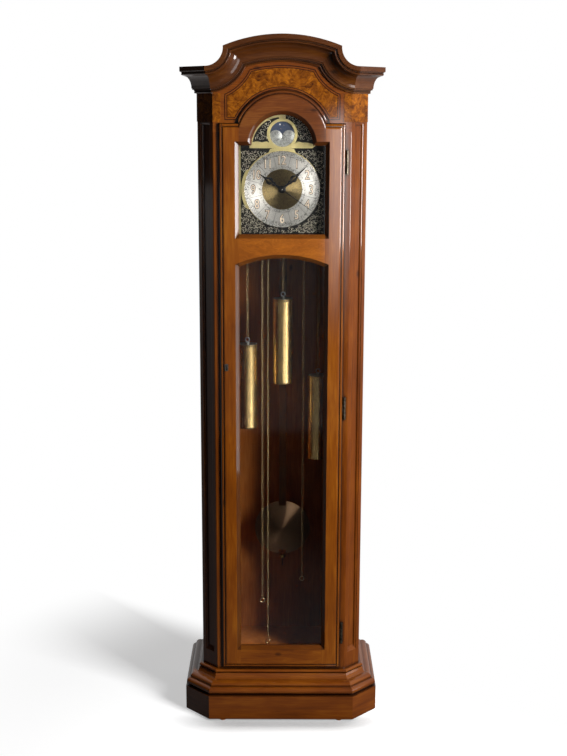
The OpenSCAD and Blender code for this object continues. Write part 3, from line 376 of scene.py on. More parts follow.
# It makes way for the moon's window, 36.5 mm in radius.
window = MOON_Z - np.sqrt(np.maximum(36.5 ** 2 - bar ** 2, 0))
bar_top = np.where(np.abs(bar) < 34, np.minimum(bar_top, window), bar_top)
crescent = flat_band(arc(-3, 1699, 82, -88, 0), arc(-0.5, 1699, 93.5, -88, 4), SHEET_Y, PLATE_Y)
add_piece("arch_crescent", crescent, satin_brass, "case", bevel=0.2)
bar_top = np.maximum(bar_top, bar_low + 0.5)
add_piece("arch_bar", flat_band(level(bar, bar_low), level(bar, bar_top), SHEET_Y - 0.1, PLATE_Y),
          satin_brass, "case", bevel=0.2)
add_piece("moon_frame", flat_band(circle(MOON_Z, 35.2), circle(MOON_Z, MOON_FRAME_R), SHEET_Y - 0.3, PLATE_Y),
          satin_brass, "case", close=True, bevel=0.25)
ring_crescents = [
    flat_band(arc(0, DIAL_Z, inner_r, a0, a1, 97), arc(x, z, outer_r, b0, b1, 97), y, PLATE_Y)
    for inner_r, a0, a1, x, z, outer_r, b0, b1, y in (
        (106.5, -150, 62, -0.6, DIAL_Z + 1.2, 108.4, -150, 62, SHEET_Y),
        (107, -122, -58, -4.2, DIAL_Z, 111.6, -118, -62, SHEET_Y + 0.1),
        (107, -22, 22, 0, DIAL_Z - 60, 176, -11, 11, SHEET_Y + 0.1))]
add_piece("ring_crescent", ring_crescents, satin_brass, "case")

# Castings in the four corners and beside the moon: black ground plates with raised scrollwork,
# cast in brass, silvered and rubbed back so that only the tops of the scrolls catch the light.
black_cast, add, place = new_finish("matt black lacquered casting")
grit = add("TexNoise", {"Vector": place, "Scale": 1400.0, "Detail": 3.0})
ground = add("ValToRGB", [grit], stops=((0.35, "#020202"), (0.7, "#0C0C0B")))
bump = add("Bump", {"Height": grit, "Strength": 0.3, "Distance": 0.0003})
show(add, {"Base Color": ground, "Roughness": 0.6, "Specular IOR Level": 0.15, "Normal": bump})
CAST_Y = -72.4
# The castings reach further at the right than at the left. There the black sheet covers the brass border as
# painted shade, where the door's edge throws its shadow.
LEFT_REACH, RIGHT_REACH, UP_REACH, DOWN_REACH = 116.5, 126.0, 115.0, 129.5


def corner_reach(angle, side, up, down):
    """How far a ray from the dial's centre runs at a clock angle before it meets the square of the dial."""
    s, c = np.abs(np.sin(angle)), np.cos(angle)
    return np.minimum(side / np.maximum(s, 1e-6), np.where(c > 0, up, down) / np.maximum(np.abs(c), 1e-6))


def moon_reach(angle, x, r):
    """How far a ray from the moon's centre runs at a clock angle before it meets a circle of the arch."""
    dx, dz = np.sin(angle), np.cos(angle)
    ox, oz = -x, MOON_Z - ARCH_Z
    half = ox * dx + oz * dz
    return -half + np.sqrt(half ** 2 - (ox ** 2 + oz ** 2 - r ** 2))


casts = []
for a0, a1, side in ((-90, -8, LEFT_REACH), (8, 90, RIGHT_REACH), (-179.9, -90, LEFT_REACH),
                     (90, 179.9, RIGHT_REACH)):
    reach = corner_reach(np.radians(np.linspace(a0, a1, 40)), side, UP_REACH, DOWN_REACH)
    inner, outer = arc(0, DIAL_Z, 106, a0, a1, 40), arc(0, DIAL_Z, reach, a0, a1, 40)
    casts.append(flat_band(inner, outer, CAST_Y, PLATE_Y))
for a0, a1, x, r in ((-122, -12, -3, 84), (12, 122, 0, 95)):
    reach = moon_reach(np.radians(np.linspace(a0, a1, 40)), x, r)
    inner, outer = arc(0, MOON_Z, MOON_FRAME_R - 0.5, a0, a1, 40), arc(0, MOON_Z, reach, a0, a1, 40)
    # Both end level, behind the bar.
    inner[:, 1], outer[:, 1] = np.maximum(inner[:, 1], 1700), np.maximum(outer[:, 1], 1700)
    casts.append(flat_band(inner, outer, CAST_Y, PLATE_Y))
for x0, x1 in ((-LEFT_REACH, -88), (80, RIGHT_REACH)):
    beside_bar = np.linspace(x0, x1, 40)
    casts.append(flat_band(level(beside_bar, 1691.5), level(beside_bar, 1706.0), CAST_Y, PLATE_Y))
add_piece("black_castings", casts, black_cast, "case")

# The scrolls stand 8.8 mm apart in staggered rows, each shifted by up to a millimetre.
STEP = 8.8
rng = np.random.default_rng(11)
gx, gz = np.meshgrid(np.arange(-120, 121, STEP), np.arange(1455, 1800, STEP * 0.87))
gx = gx + (np.arange(len(gx))[:, None] % 2) * STEP / 2
spots = np.stack([gx.ravel(), gz.ravel()], -1) + rng.uniform(-1.0, 1.0, (gx.size, 2))
from_dial = spots - (0, DIAL_Z)
dial_a, dial_r = np.arctan2(from_dial[:, 0], from_dial[:, 1]), np.hypot(*from_dial.T)
moon_r = np.hypot(*(spots - (0, MOON_Z)).T)
turned = np.abs(np.degrees(dial_a))
in_corner = ((dial_r > 112) & (dial_r < corner_reach(dial_a, 117, 111, 124) - 2.4)
             & ((turned > 13) & ((turned < 68) | (turned > 112) | (dial_a > 0))) & (spots[:, 1] < 1691.5))
in_arch = ((spots[:, 1] > 1716) & (moon_r > 46) & (np.hypot(spots[:, 0], spots[:, 1] - ARCH_Z) < 90)
           & ((spots[:, 0] > 0) | (np.hypot(spots[:, 0] + 3, spots[:, 1] - 1699) < 79)))
spots = spots[in_corner | in_arch]


def scrolls(spots, rng, rings=13, sides=5):
    """Small raised scrolls, one at each spot: r = R (1 - 0.7 t) at angle p + 0.85 turns x t, as a tube whose
    own radius tapers from 0.95 mm to 0.35 mm."""
    count = len(spots)
    size = rng.uniform(3.0, 5.2, (count, 1))
    first = rng.uniform(0, 2 * np.pi, (count, 1))
    hand = np.where(rng.random((count, 1)) < 0.5, -1.0, 1.0)
    t = np.linspace(0, 1, rings)
    r, a = size * (1 - 0.7 * t), first + hand * 1.7 * np.pi * t
    x, z = spots[:, :1] + r * np.cos(a), spots[:, 1:] + r * np.sin(a)
    centre = np.stack([x, np.full_like(a, CAST_Y), z], -1)
    out = np.stack([np.cos(a), np.zeros_like(a), np.sin(a)], -1)
    thick = 0.95 - 0.6 * t
    b = np.linspace(0, 2 * np.pi, sides, endpoint=False)
    ring = out[:, :, None] * np.cos(b)[:, None] + np.array([0, 1.0, 0]) * np.sin(b)[:, None]
    return centre[:, :, None] + ring * thick[:, None, None]


rubbed_silver = metal("rubbed silvered casting", "#D2CBB6", 0.3, scale=1200.0)
add_piece("raised_scrolls", scrolls(spots, rng), rubbed_silver, "case", turn=80)


# Chapter ring: brass, silvered and brushed in circles, with the hours separated by engraved lines.
# Circular brushing throws two opposite fans of light, towards three and nine o'clock.
def turned_metal(name, colour, dark, rough, anisotropy, centre, metallic=1.0, engraving=None):
    """Metal brushed in circles round an axis along Y. The tangent is the way out from the centre, so the
    light spreads across the brushing. The lines are a noise of the distance from there, 0.5 mm apart."""
    finish, add, place = new_finish(name)
    arm = add("VectorMath", (place, [c * MM for c in centre]), operation="SUBTRACT")
    arm = add("VectorMath", (arm, (1, 0, 1)), operation="MULTIPLY")
    along = add("VectorMath", [arm], operation="NORMALIZE")
    out = add("VectorMath", [arm], out="Value", operation="LENGTH")
    lines = add("TexNoise", {"W": out, "Scale": 2200.0, "Detail": 2.0}, noise_dimensions="1D")
    speck = add("TexNoise", {"Vector": place, "Scale": 520.0, "Detail": 2.0})
    mixed = add("Math", (lines, speck), operation="MULTIPLY")
    mixed = add("MapRange", (mixed, 0.12, 0.4))
    shade = add("Mix", {0: mixed, 6: linear(dark), 7: linear(colour)}, out=2, data_type="RGBA")
    if engraving:
        cut = engraving(add, place, arm, out)
        shade = add("Mix", {0: cut, 6: shade, 7: linear("#4A4C48")}, out=2, data_type="RGBA")
    show(add, {"Base Color": shade, "Metallic": metallic, "Roughness": rough, "Anisotropic": anisotropy,
               "Tangent": along})
    return finish


def hour_engraving(add, place, arm, out):
    """Dark lines between the hours, and fine foliage at the ring's rim and at its inner edge."""
    parts = add("SeparateXYZ", [arm], out=None)
    angle = add("Math", (parts[0], parts[2]), operation="ARCTAN2")
    turn = add("Math", (angle, 6 / math.pi, 12.5), operation="MULTIPLY_ADD")
    turn = add("Math", [turn], operation="FRACT")
    turn = add("Math", (turn, 0.5), operation="SUBTRACT")
    turn = add("Math", [turn], operation="ABSOLUTE")
    # Half an hour from its middle, the hour's cell ends in a line 0.8 mm wide.
    line = add("MapRange", (turn, 0.482, 0.49, 0.0, 0.7))
    warped = add("TexNoise", {"Vector": place, "Scale": 240.0, "Detail": 3.0, "Distortion": 1.6})
    leaves = add("MapRange", (warped, 0.5, 0.56, 0.0, 0.75))
    outside = add("MapRange", (out, 0.0905, 0.0925))
    inside = add("MapRange", (out, 0.0675, 0.0655))
    band = add("Math", (outside, inside), operation="MAXIMUM")
    leaves = add("Math", (leaves, band), operation="MULTIPLY")
    return add("Math", (leaves, line), operation="MAXIMUM")


silvered = turned_metal("silvered brass, brushed in circles", "#ECEAE6", "#C2C1BB", 0.33, 0.8, (0, 0, DIAL_Z),
                        metallic=0.75, engraving=hour_engraving)
dress(silvered, "chapter_ring")
add_piece("chapter_edge", flat_band(circle(DIAL_Z, 103.5), circle(DIAL_Z, 106.8), -73.35, PLATE_Y), silvered,
          "case", close=True)
# A rim 1.2 mm thick and 106.6 mm in radius closes the edge.
rim_a = np.linspace(0, 2 * np.pi, 97)[:-1, None]
rim_b = np.linspace(0, 2 * np.pi, 9)[:-1]
rim_r = 106.6 + 0.6 * np.cos(rim_b)
rim_y = -73.5 + 0.6 * np.sin(rim_b) + 0 * rim_a
rim = np.stack([rim_r * np.sin(rim_a), rim_y, DIAL_Z + rim_r * np.cos(rim_a)], -1)
polished_rim = metal("polished silvered edge", "#D8D3C2", 0.25)
add_piece("chapter_rim", rim, polished_rim, "case", close=True, turn=80)

# Hour numerals: slim raised figures in polished pale brass on a darkened edge, pinned to the ring
# upright, and a black dot for each hour near the rim. The edge is the same figure, grown sideways.
NUMERAL_SIZE, NUMERAL_R = 36, 82.0
numeral_brass = metal("polished numeral brass", "#FFEBD2", 0.34, Metallic=0.3)
numeral_edge = metal("darkened numeral edge", "#120F0C", 0.5, Metallic=0.2)
for name, finish, growth, lift in (("hour_numerals", numeral_brass, -0.25, 73.95),
                                   ("numeral_edges", numeral_edge, 1.4, 73.55)):
    corners, flats, start = [], [], 0
    for hour in range(1, 13):
        lettering = bpy.data.curves.new("numeral", "FONT")
        lettering.body, lettering.size = str(hour), NUMERAL_SIZE * MM
        lettering.align_x, lettering.align_y = "CENTER", "CENTER"
        lettering.extrude, lettering.bevel_depth, lettering.bevel_resolution = 0.25 * MM, 0.2 * MM, 1
        lettering.offset = growth * MM
        lettering.space_character = 0.95
        shown = add_object("numeral", lettering)
        bpy.context.view_layer.update()
        cut = shown.to_mesh()
        flat = np.empty(len(cut.vertices) * 3)
        cut.vertices.foreach_get("co", flat)
        flat = flat.reshape(-1, 3)
        flat = (flat - (flat.min(0) + flat.max(0)) / 2) * (0.78, 1.0, 1.0)
        a = math.radians(30 * hour)
        corners.append(np.stack([flat[:, 0] + NUMERAL_R * MM * math.sin(a), -flat[:, 2] - lift * MM,
                                 flat[:, 1] + (DIAL_Z + NUMERAL_R * math.cos(a)) * MM], -1))
        flats += [[start + v for v in face.vertices] for face in cut.polygons]
        start += len(flat)
        shown.to_mesh_clear()
        bpy.data.objects.remove(shown)
    figures = bpy.data.meshes.new(name)
    figures.from_pydata(np.concatenate(corners).tolist(), [], flats)
    clean_mesh(figures)
    figures.materials.append(finish)
    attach(add_object(name, figures), "case")


def turned_about_y(profile, centres, sides=16):
    """A profile of (radius, y) turned round an axis along Y at each centre (x, z): its points are rows."""
    a = np.linspace(0, 2 * np.pi, sides, endpoint=False)
    r, y = np.asarray(profile, float).T
    x = np.asarray(centres, float)[:, None, None, :1] + (r[:, None] * np.sin(a))[None, :, :, None]
    z = np.asarray(centres, float)[:, None, None, 1:] + (r[:, None] * np.cos(a))[None, :, :, None]
    return np.concatenate([x, np.broadcast_to(y[None, :, None, None], x.shape), z], -1)


gloss_black, add, place = new_finish("gloss black japanned steel")
flow = add("TexNoise", {"Vector": place, "Scale": 300.0, "Detail": 1.0})
gleam = add("MapRange", (flow, 0.0, 1.0, 0.22, 0.34))
show(add, {"Base Color": linear("#060607"), "Roughness": gleam, "Specular IOR Level": 0.3})
dots = arc(0, DIAL_Z, 101.0, 0, 330, 12)
add_piece("hour_dots", turned_about_y(((0, -74.0), (1.0, -73.95), (1.5, -73.5), (0, -73.4)), dots, 12),
          gloss_black, "case", turn=40)

# Dial centre: a disc of brass, bronzed and brushed in circles on a lathe, and pinned to the plate.
# The brushing keeps it dark but for two golden fans.
centre_brass = turned_metal("bronzed brass, brushed in circles", "#8E7C50", "#4A4033", 0.36, 0.92,
                            (0, 0, DIAL_Z))
dress(centre_brass, "dial_centre")


# Moon dial: a painted disc that turns behind a round window, dark sky with stars, and before it two
# silvered globes and a shield that hide the moon between its rise and its setting.
def paint(name, scale, dark, light, rough, detail=2.0, metallic=0.0):
    """Paint laid on by brush. Its colour drifts between two tones with a noise of scale per metre."""
    finish, add, place = new_finish(name)
    drift = add("TexNoise", {"Vector": place, "Scale": scale, "Detail": detail})
    colour = add("ValToRGB", [drift], stops=((0.3, dark), (0.7, light)))
    show(add, {"Base Color": colour, "Roughness": rough, "Metallic": metallic})
    return finish


DISC_Z = 1700
dress(paint("satin slate blue paint", 60.0, "#27324A", "#35435E", 0.45, detail=3.0), "moon_disc")
star_r, star_a = rng.uniform(46, 66, 26), np.arange(26) * 2 * np.pi / 26 + rng.uniform(-0.1, 0.1, 26)
stars = np.stack([star_r * np.sin(star_a), DISC_Z + star_r * np.cos(star_a)], -1)
stars = np.concatenate([stars[2:-2], [(4.2, 1759.0), (-4.0, 1749.0)]])
gold_paint = paint("gold paint", 900.0, "#9A8258", "#C8B080", 0.5, metallic=0.4)
add_piece("painted_stars", turned_about_y(((0, -68.15), (0.7, -68.1), (0.9, -68.0), (0, -67.9)), stars, 8),
          gold_paint, "moon", turn=60)
ivory_paint = paint("ivory enamel", 500.0, "#C9C8C0", "#EDECE6", 0.35)
moons = np.array([(-6.5, 1761.0), (42.0, 1655.0), (-55.0, 1668.0)])
add_piece("small_moons", turned_about_y(((0, -68.6), (1.4, -68.5), (2.2, -68.0), (0, -67.9)), moons, 16),
          ivory_paint, "moon", turn=60)


def globe_engraving(add, place, arm, out):
    """Coasts and lines of an old map: a warped noise cut at its middle value, as in shallow engraving."""
    coast = add("TexNoise", {"Vector": place, "Scale": 150.0, "Detail": 4.0, "Distortion": 1.2})
    coast = add("Math", (coast, 0.5), operation="SUBTRACT")
    coast = add("Math", [coast], operation="ABSOLUTE")
    return add("MapRange", (coast, 0.035, 0.01, 0.0, 0.8))


GLOBE_R, GLOBE_X, GLOBE_Z = 18.2, 18.6, 1727.5
dome = [(r, -71.2 - 1.4 * math.sqrt(max(1 - (r / GLOBE_R) ** 2, 0))) for r in np.linspace(0, GLOBE_R, 7)]
for side, x in (("left", -GLOBE_X), ("right", GLOBE_X)):
    silver = turned_metal("engraved silvered globe " + side, "#DCDEDC", "#8E928F", 0.32, 0.5, (x, 0, GLOBE_Z),
                          metallic=0.6, engraving=globe_engraving)
    add_piece(side + "_globe", turned_about_y(dome + [(0, -71.1)], [(x, GLOBE_Z)], 40), silver, "case",
              turn=50)
shield_x = np.linspace(-36, 36, 37)
shield = flat_band(level(shield_x, 1699.0), level(shield_x, 1722.0 - np.abs(shield_x) * 0.25), -71.6, PLATE_Y)
lower_silver = turned_metal("engraved silvered shield", "#C9CCC8", "#989C98", 0.36, 0.4, (0, 0, 1690.0),
                            metallic=0.6, engraving=globe_engraving)
add_piece("lower_shield", shield, lower_silver, "case")
for name in ("arch_bar", "arch_crescent", "moon_frame", "ring_crescent", "black_castings", "left_globe",
             "right_globe", "lower_shield"):
    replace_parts(bpy.data.objects[name], "dial_mounts")


# Hands: serpentine hands pierced and cut from black steel sheet, on the two tubes at the centre. Each
# blade swells into an open loop and ends in a point; a steel cap closes the centre.
def pierced_blade(name, angle, length, stations, y, body):
    """Two strips of sheet either side of a centre line. stations are (share of the length, inner, outer
    half-width) in mm, smoothed over the length; where inner is above 0 the blade is open. The line is turned
    to a clock angle."""
    at, inner, outer = np.asarray(stations, float).T
    s = np.linspace(0, 1, 97)
    smooth = np.ones(3) / 3
    inner = np.convolve(np.pad(np.interp(s, at, inner), 1, "edge"), smooth, "valid")
    outer = np.convolve(np.pad(np.interp(s, at, outer), 1, "edge"), smooth, "valid")
    way = np.array([math.sin(math.radians(angle)), math.cos(math.radians(angle))])
    across = np.array([way[1], -way[0]])
    line = np.array([0, DIAL_Z]) + (s * length)[:, None] * way
    halves = [flat_band(line + hand * inner[:, None] * across, line + hand * outer[:, None] * across, y - 0.5,
                        y + 0.5) for hand in (-1, 1)]
    return add_piece(name, halves, gloss_black, body, turn=40, bevel=0.12)


HOUR_Y, MINUTE_Y = -77.3, -80.6
hour_stations = ((0, 0, 6.0), (0.13, 0, 4.2), (0.22, 0, 2.8), (0.28, 0, 3.0), (0.33, 0, 5.4),
                 (0.38, 0.8, 6.4), (0.42, 0, 3.6), (0.46, 1.0, 9.4), (0.53, 3.2, 11.0), (0.60, 1.8, 9.4),
                 (0.65, 0, 4.0), (0.69, 0, 5.6), (0.74, 0, 2.4), (0.86, 0, 1.5), (1, 0, 0.3))
minute_stations = ((0, 0, 5.2), (0.10, 0, 3.8), (0.18, 0, 2.4), (0.24, 0, 2.6), (0.28, 0, 4.8),
                   (0.32, 0.8, 5.8), (0.36, 0, 3.2), (0.40, 1.0, 8.6), (0.46, 2.8, 10.0), (0.52, 1.4, 8.2),
                   (0.57, 0, 3.2), (0.61, 0, 4.8), (0.66, 0, 2.1), (0.84, 0, 1.4), (1, 0, 0.25))
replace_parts(pierced_blade("hour_blade", -56.1, 80, hour_stations, HOUR_Y, "hour"), "hour_hand")
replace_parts(pierced_blade("minute_blade", 47.0, 97, minute_stations, MINUTE_Y, "minute"), "minute_hand")
collar = ((0, 0.6), (6.4, 0.6), (6.8, 0.3), (6.8, -0.3), (6.4, -0.6), (0, -0.6))
for body, y, r in (("hour", HOUR_Y, 1.55), ("minute", MINUTE_Y, 1.35)):
    add_piece(body + "_collar", turned_about_y([(a * r, b + y) for a, b in collar], [(0, DIAL_Z)], 32),
              gloss_black, body, turn=40)
dress(gloss_black, "seconds_hand")
cap_steel = metal("polished steel cap", "#C4C4C0", 0.18)
cap = ((0, -86.4), (1.4, -86.2), (2.4, -85.6), (2.7, -84.9), (2.7, -84.6), (0, -84.6))
add_piece("centre_cap", turned_about_y(cap, [(0, DIAL_Z)], 24), cap_steel, "seconds", turn=50)

# Chains: open-link clock chain, wire 1.3 mm thick in links 6.4 mm apart, each link a quarter turn
# from the next. Each chain runs over its sprocket from the weight's hook to a ring on its free end.
SIDES = ("left", "centre", "right")
WEIGHT_X, FREE_X = (-102, 3, 108), (-58, -41, 64)
WEIGHT_TOP, RING_Z = (1123.4, 1259.6, 1029.5), (315, 179, 387)
CHAIN_Y, SPROCKET_Z, SPROCKET_R, PITCH = 8.0, 1500.0, 22.0, 6.4
HOOK_H, RING_R = 20.3, 8.3


def chain_links(centres, ways, turn=14, sides=5):
    """One link at each centre, its long side along the way there. A link is an oval: x = 2.9 cos a, and along
    the way 2.9 sin a + 1.0 with the sign of sin a, in wire 0.66 mm in radius. Links alternate 45 degrees
    either side of the chain's plane."""
    a = (np.arange(turn) + 0.5) * 2 * np.pi / turn
    b = np.arange(sides) * 2 * np.pi / sides
    oval = np.stack([2.9 * np.cos(a), 2.9 * np.sin(a) + 1.0 * np.sign(np.sin(a))], -1)
    out = np.stack([np.cos(a), np.sin(a)], -1)
    wide = oval[:, None, 0] + 0.66 * np.cos(b) * out[:, None, 0]
    tall = oval[:, None, 1] + 0.66 * np.cos(b) * out[:, None, 1]
    thick = np.broadcast_to(0.66 * np.sin(b), wide.shape)
    side = np.cross(ways, (0, 1.0, 0))
    roll = np.where(np.arange(len(centres)) % 2, 1.0, -1.0)[:, None] * math.sqrt(0.5)
    first = side * math.sqrt(0.5) + np.array([0, 1.0, 0]) * roll
    spread = [(wide, first), (thick, np.cross(ways, first)), (tall, ways)]
    return centres[:, None, None, :] + sum(size[..., None] * v[:, None, None, :] for size, v in spread)


def hanging(x, low):
    """Places and ways of the links that hang at x, from the sprocket's axis down to the height low."""
    count = int((SPROCKET_Z - low) / PITCH)
    z = SPROCKET_Z - (np.arange(count) + 0.5) * (SPROCKET_Z - low) / count
    return np.stack([0 * z + x, 0 * z + CHAIN_Y, z], -1), np.tile((0, 0, -1.0), (count, 1))


def add_chain(name, places, ways, node, mover, x, low):
    """One run of links, fixed where it hangs at rest. mover, x and low are not used."""
    links = add_piece(name, chain_links(places, ways), chain_metal, None, close=True, turn=80)
    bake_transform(links)
    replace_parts(links, node)


chain_metal = metal("lacquered brassed steel chain", "#CDBB8C", 0.24, scale=1500.0)
for side, x, free_x, top, low in zip(SIDES, WEIGHT_X, FREE_X, WEIGHT_TOP, RING_Z):
    hook_z, end_z = top + HOOK_H, low + RING_R
    add_chain(side + "_chain_loaded", *hanging(x, hook_z), "chain_" + side, side + "_weight", x, hook_z)
    # Over the sprocket, then down to the ring.
    hand = 1 if free_x > x else -1
    count = round(np.pi * SPROCKET_R / PITCH)
    over = np.arange(0.5, count) / count * np.pi
    bend = np.stack([(x + free_x) / 2 - hand * SPROCKET_R * np.cos(over), 0 * over + CHAIN_Y,
                     SPROCKET_Z + SPROCKET_R * np.sin(over)], -1)
    bend_way = np.stack([hand * np.sin(over), 0 * over, np.cos(over)], -1)
    places, ways = hanging(free_x, end_z)
    add_chain(side + "_chain_free", np.concatenate([bend, places]), np.concatenate([bend_way, ways]),
              "chain_" + side, side + "_ring", free_x, end_z)
dress(chain_metal, "chain_ring_left", "chain_ring_centre", "chain_ring_right")


# Weights: brass tube 60 mm across, lacquered and polished, filled and closed by a grey cap whose edge is
# rolled over, with a steel hook. The lower end is a turned brass disc.
def turned_about_z(profile, x, y, z, sides=96):
    """A profile of (radius, height) turned round an upright axis at x, y from the height z: rows along it."""
    a = np.linspace(0, 2 * np.pi, sides, endpoint=False)
    r, h = np.asarray(profile, float).T
    return np.stack([x + r[:, None] * np.sin(a), y + r[:, None] * np.cos(a),
                     z + np.repeat(h[:, None], sides, 1)], -1)


def hook_path(x, y, z, sides=8):
    """A wire 3 mm thick: straight up out of the cap, then an eye 6 mm in radius round an axis along Y."""
    a = np.radians(np.linspace(-90, 255, 30))
    eye = np.stack([x + 6.0 * np.cos(a), y + np.linspace(-0.8, 0.8, 30), z + 12 + 6.0 * np.sin(a)], -1)
    path = np.concatenate([[(x, y, z - 2), (x, y, z + 1.5)], eye])
    way = np.gradient(path, axis=0)
    way /= np.linalg.norm(way, axis=1)[:, None]
    first = np.tile((0, 1.0, 0), (len(path), 1))
    second = np.cross(way, first)
    b = np.linspace(0, 2 * np.pi, sides, endpoint=False)[:, None]
    return path[:, None] + 1.5 * (np.cos(b) * first[:, None] + np.sin(b) * second[:, None])


weight_brass = metal("polished lacquered brass tube", "#DFC083", 0.26, wear=0.05, scale=400.0,
                     streak=(1, 1, 0.02))
cap_grey = metal("dull zinc cap", "#8B8B86", 0.4)
tube = ((0, -258), (5.8, -258), (6, -255.4), (27.5, -255.2), (29.2, -254.6), (30.0, -253.2), (30.3, -251),
        (30.0, -249.5), (30.0, -8), (30.0, -4.6), (30.4, -3.8), (30.4, -1.2), (29.9, -0.6), (28.6, -0.5),
        (28.2, -1.2), (0, -1.2))
lid = ((0, -1.6), (28.3, -1.6), (28.2, -0.3), (26, -0.5), (25, -1.0), (8, -1.0), (7, 0.2), (5.2, 2.6),
       (5.0, 4.5), (2.6, 5.4), (0, 5.4))
for side, x, top in zip(SIDES, WEIGHT_X, WEIGHT_TOP):
    body = side + "_weight"
    shell = add_piece(side + "_weight_tube", turned_about_z(tube, x, CHAIN_Y, top), weight_brass, body,
                      turn=35)
    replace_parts(shell, "weight_" + side)
    cap = turned_about_z(lid, x, CHAIN_Y, top, 64)
    add_piece(side + "_weight_cap", cap, cap_grey, body, turn=35)
    add_piece(side + "_weight_hook", hook_path(x, CHAIN_Y, top), turned_steel, body, turn=60)

# Pendulum: a varnished wooden rod with a threaded end, a thin lens-shaped bob spun from steel and
# brushed in circles, and a brass nut under it that sets the rate.
rod_tones = ("#4A2A12", "#6B3F1C", "#845228")
rod_wood = lacquered_wood("varnished brown rod", "Z", rod_tones, gloss=0.6, shift=7.7)
dress(rod_wood, "pendulum_rod")
# The steel's brown tone is a painted reflection of the case's wood round the bob.
bob_steel = turned_metal("spun steel, brushed in circles", "#8C6E54", "#4E3B2C", 0.32, 0.88,
                         (3.0, 88.0, 525.0))
dress(bob_steel, "pendulum_bob")
dress(clock_brass, "rating_nut")

# Studio floor: white paper, which a ray straight from the camera, or through a pane, sees run out to
# pure white. The panes and the lacquer mirror another floor: bright behind the clock, and in front
# of it dim, as in a room.
ROOM_GLOW, FLOOR_BOUNCE, FLOOR_GLOW, WORLD_FILL = 0.12, 0.05, 0.5, 0.07
scene = bpy.context.scene


def straight_rays(add):
    """1 for rays from the camera and for those that only passed through a pane since, else 0, and the same
    for rays that a glossy surface mirrored."""
    path = add("LightPath", out=None)
    bounced = add("Math", (path["Glossy Depth"], path["Diffuse Depth"]), operation="ADD")
    direct = add("Math", (bounced, 0.5), operation="LESS_THAN")
    through = add("Math", (path["Is Transmission Ray"], direct), operation="MULTIPLY")
    straight = add("Math", (path["Is Camera Ray"], through), operation="MAXIMUM")
    other = add("Math", (1.0, straight), operation="SUBTRACT")
    mirrored = add("Math", (path["Is Diffuse Ray"], 0.5), operation="LESS_THAN")
    return straight, add("Math", (mirrored, other), operation="MULTIPLY")


floor_mesh = bpy.data.meshes.new("studio_floor")
floor_mesh.from_pydata([(-30, -30, 0), (30, -30, 0), (30, 30, 0), (-30, 30, 0)], [], [(0, 1, 2, 3)])
floor_finish, add, place = new_finish("matt white paper")
straight, mirrored = straight_rays(add)
depth = add("SeparateXYZ", [place], out=1)
# What a mirrored ray finds, by how far in front of the clock or behind it the place lies.
behind = add("MapRange", (depth, -0.1, 0.9, 0.0, 0.6))
edge = add("MapRange", (depth, -3.65, -3.45, 1.0, 0.08))
room = add("MapRange", (depth, -10.0, -3.5, ROOM_GLOW, 0.1))
room = add("Math", (room, edge), operation="MULTIPLY")
close = add("MapRange", (depth, -1.8, -0.4, 0.0, 0.14))
mirror_glow = add("Math", (behind, room), operation="MAXIMUM")
mirror_glow = add("Math", (mirror_glow, close), operation="MAXIMUM")
mirror_glow = add("Math", (mirror_glow, mirrored), operation="MULTIPLY")
# The shadow of contact, only in front of the plinth.
under = add("AmbientOcclusion", {"Distance": 0.1}, out="AO", samples=8)
front = add("MapRange", (depth, -0.2, -0.12, 0.1, 1.0))
under = add("MapRange", (under, 0.55, 0.98, front, 1.0))
fibres = add("TexNoise", {"Vector": place, "Scale": 300.0})
paper = add("MapRange", (fibres, 0.0, 1.0, 0.98, 1.0))
albedo = add("MapRange", (straight, 0.0, 1.0, FLOOR_BOUNCE, 0.8))
unseen = add("Math", (1.0, mirrored), operation="SUBTRACT")
for share in (unseen, paper, under):
    albedo = add("Math", (albedo, share), operation="MULTIPLY")
glow = add("Math", (straight, FLOOR_GLOW, mirror_glow), operation="MULTIPLY_ADD")
glow = add("Math", (glow, under), operation="MULTIPLY")
# The floor runs out to pure white all round, and sooner behind the clock at the right.
away = add("VectorMath", [place], out="Value", operation="LENGTH")
away = add("MapRange", (away, 0.5, 1.2), interpolation_type="SMOOTHSTEP")
beyond = add("VectorMath", (place, (0.7, 1, 0)), out="Value", operation="DOT_PRODUCT")
beyond = add("MapRange", (beyond, 0.16, 0.4), interpolation_type="SMOOTHSTEP")
away = add("Math", (away, beyond), operation="MAXIMUM")
away = add("Math", (away, straight), operation="MULTIPLY")
near = add("BsdfPrincipled", {"Base Color": albedo, "Roughness": 0.9, "Specular IOR Level": 0.0,
                              "Emission Color": (1, 1, 1, 1), "Emission Strength": glow})
far = add("Emission", {"Strength": 1.0})
add("OutputMaterial", {"Surface": add("MixShader", (away, near, far))}, out=None)
floor_mesh.materials.append(floor_finish)
add_object("studio_floor", floor_mesh)

# World: white to a straight ray. To a mirrored one it is a bright backdrop behind and a dim room in
# front, and on the object it lays a weak fill from the right, behind and above.
sky_world = bpy.data.worlds.new("studio")
scene.world = sky_world
sky_world.use_nodes = True
sky_world.node_tree.nodes.clear()
add = functools.partial(add_node, sky_world.node_tree)
ray = add("TexCoord", out="Generated")
straight, mirrored = straight_rays(add)
skies = []
for way, low, most in (((0.78, 0.50, 0.38), 0.0, WORLD_FILL), ((0.25, 0.90, 0.35), 0.1, 0.6),
                       ((0, -1, 0), 0.25, ROOM_GLOW)):
    part = add("VectorMath", (ray, way), out="Value", operation="DOT_PRODUCT")
    skies.append(add("MapRange", (part, low, low + 0.6, 0.03 * most, most), interpolation_type="SMOOTHSTEP"))
fill, backdrop, room = skies
seen_room = add("Math", (backdrop, room), operation="MAXIMUM")
lit = add("Mix", {0: mirrored, 2: fill, 3: seen_room}, data_type="FLOAT")
strength = add("Math", (lit, straight), operation="MAXIMUM")
sky = add("Background", {"Color": (1, 1, 1, 1), "Strength": strength})
add("OutputWorld", {"Surface": sky}, out=None)


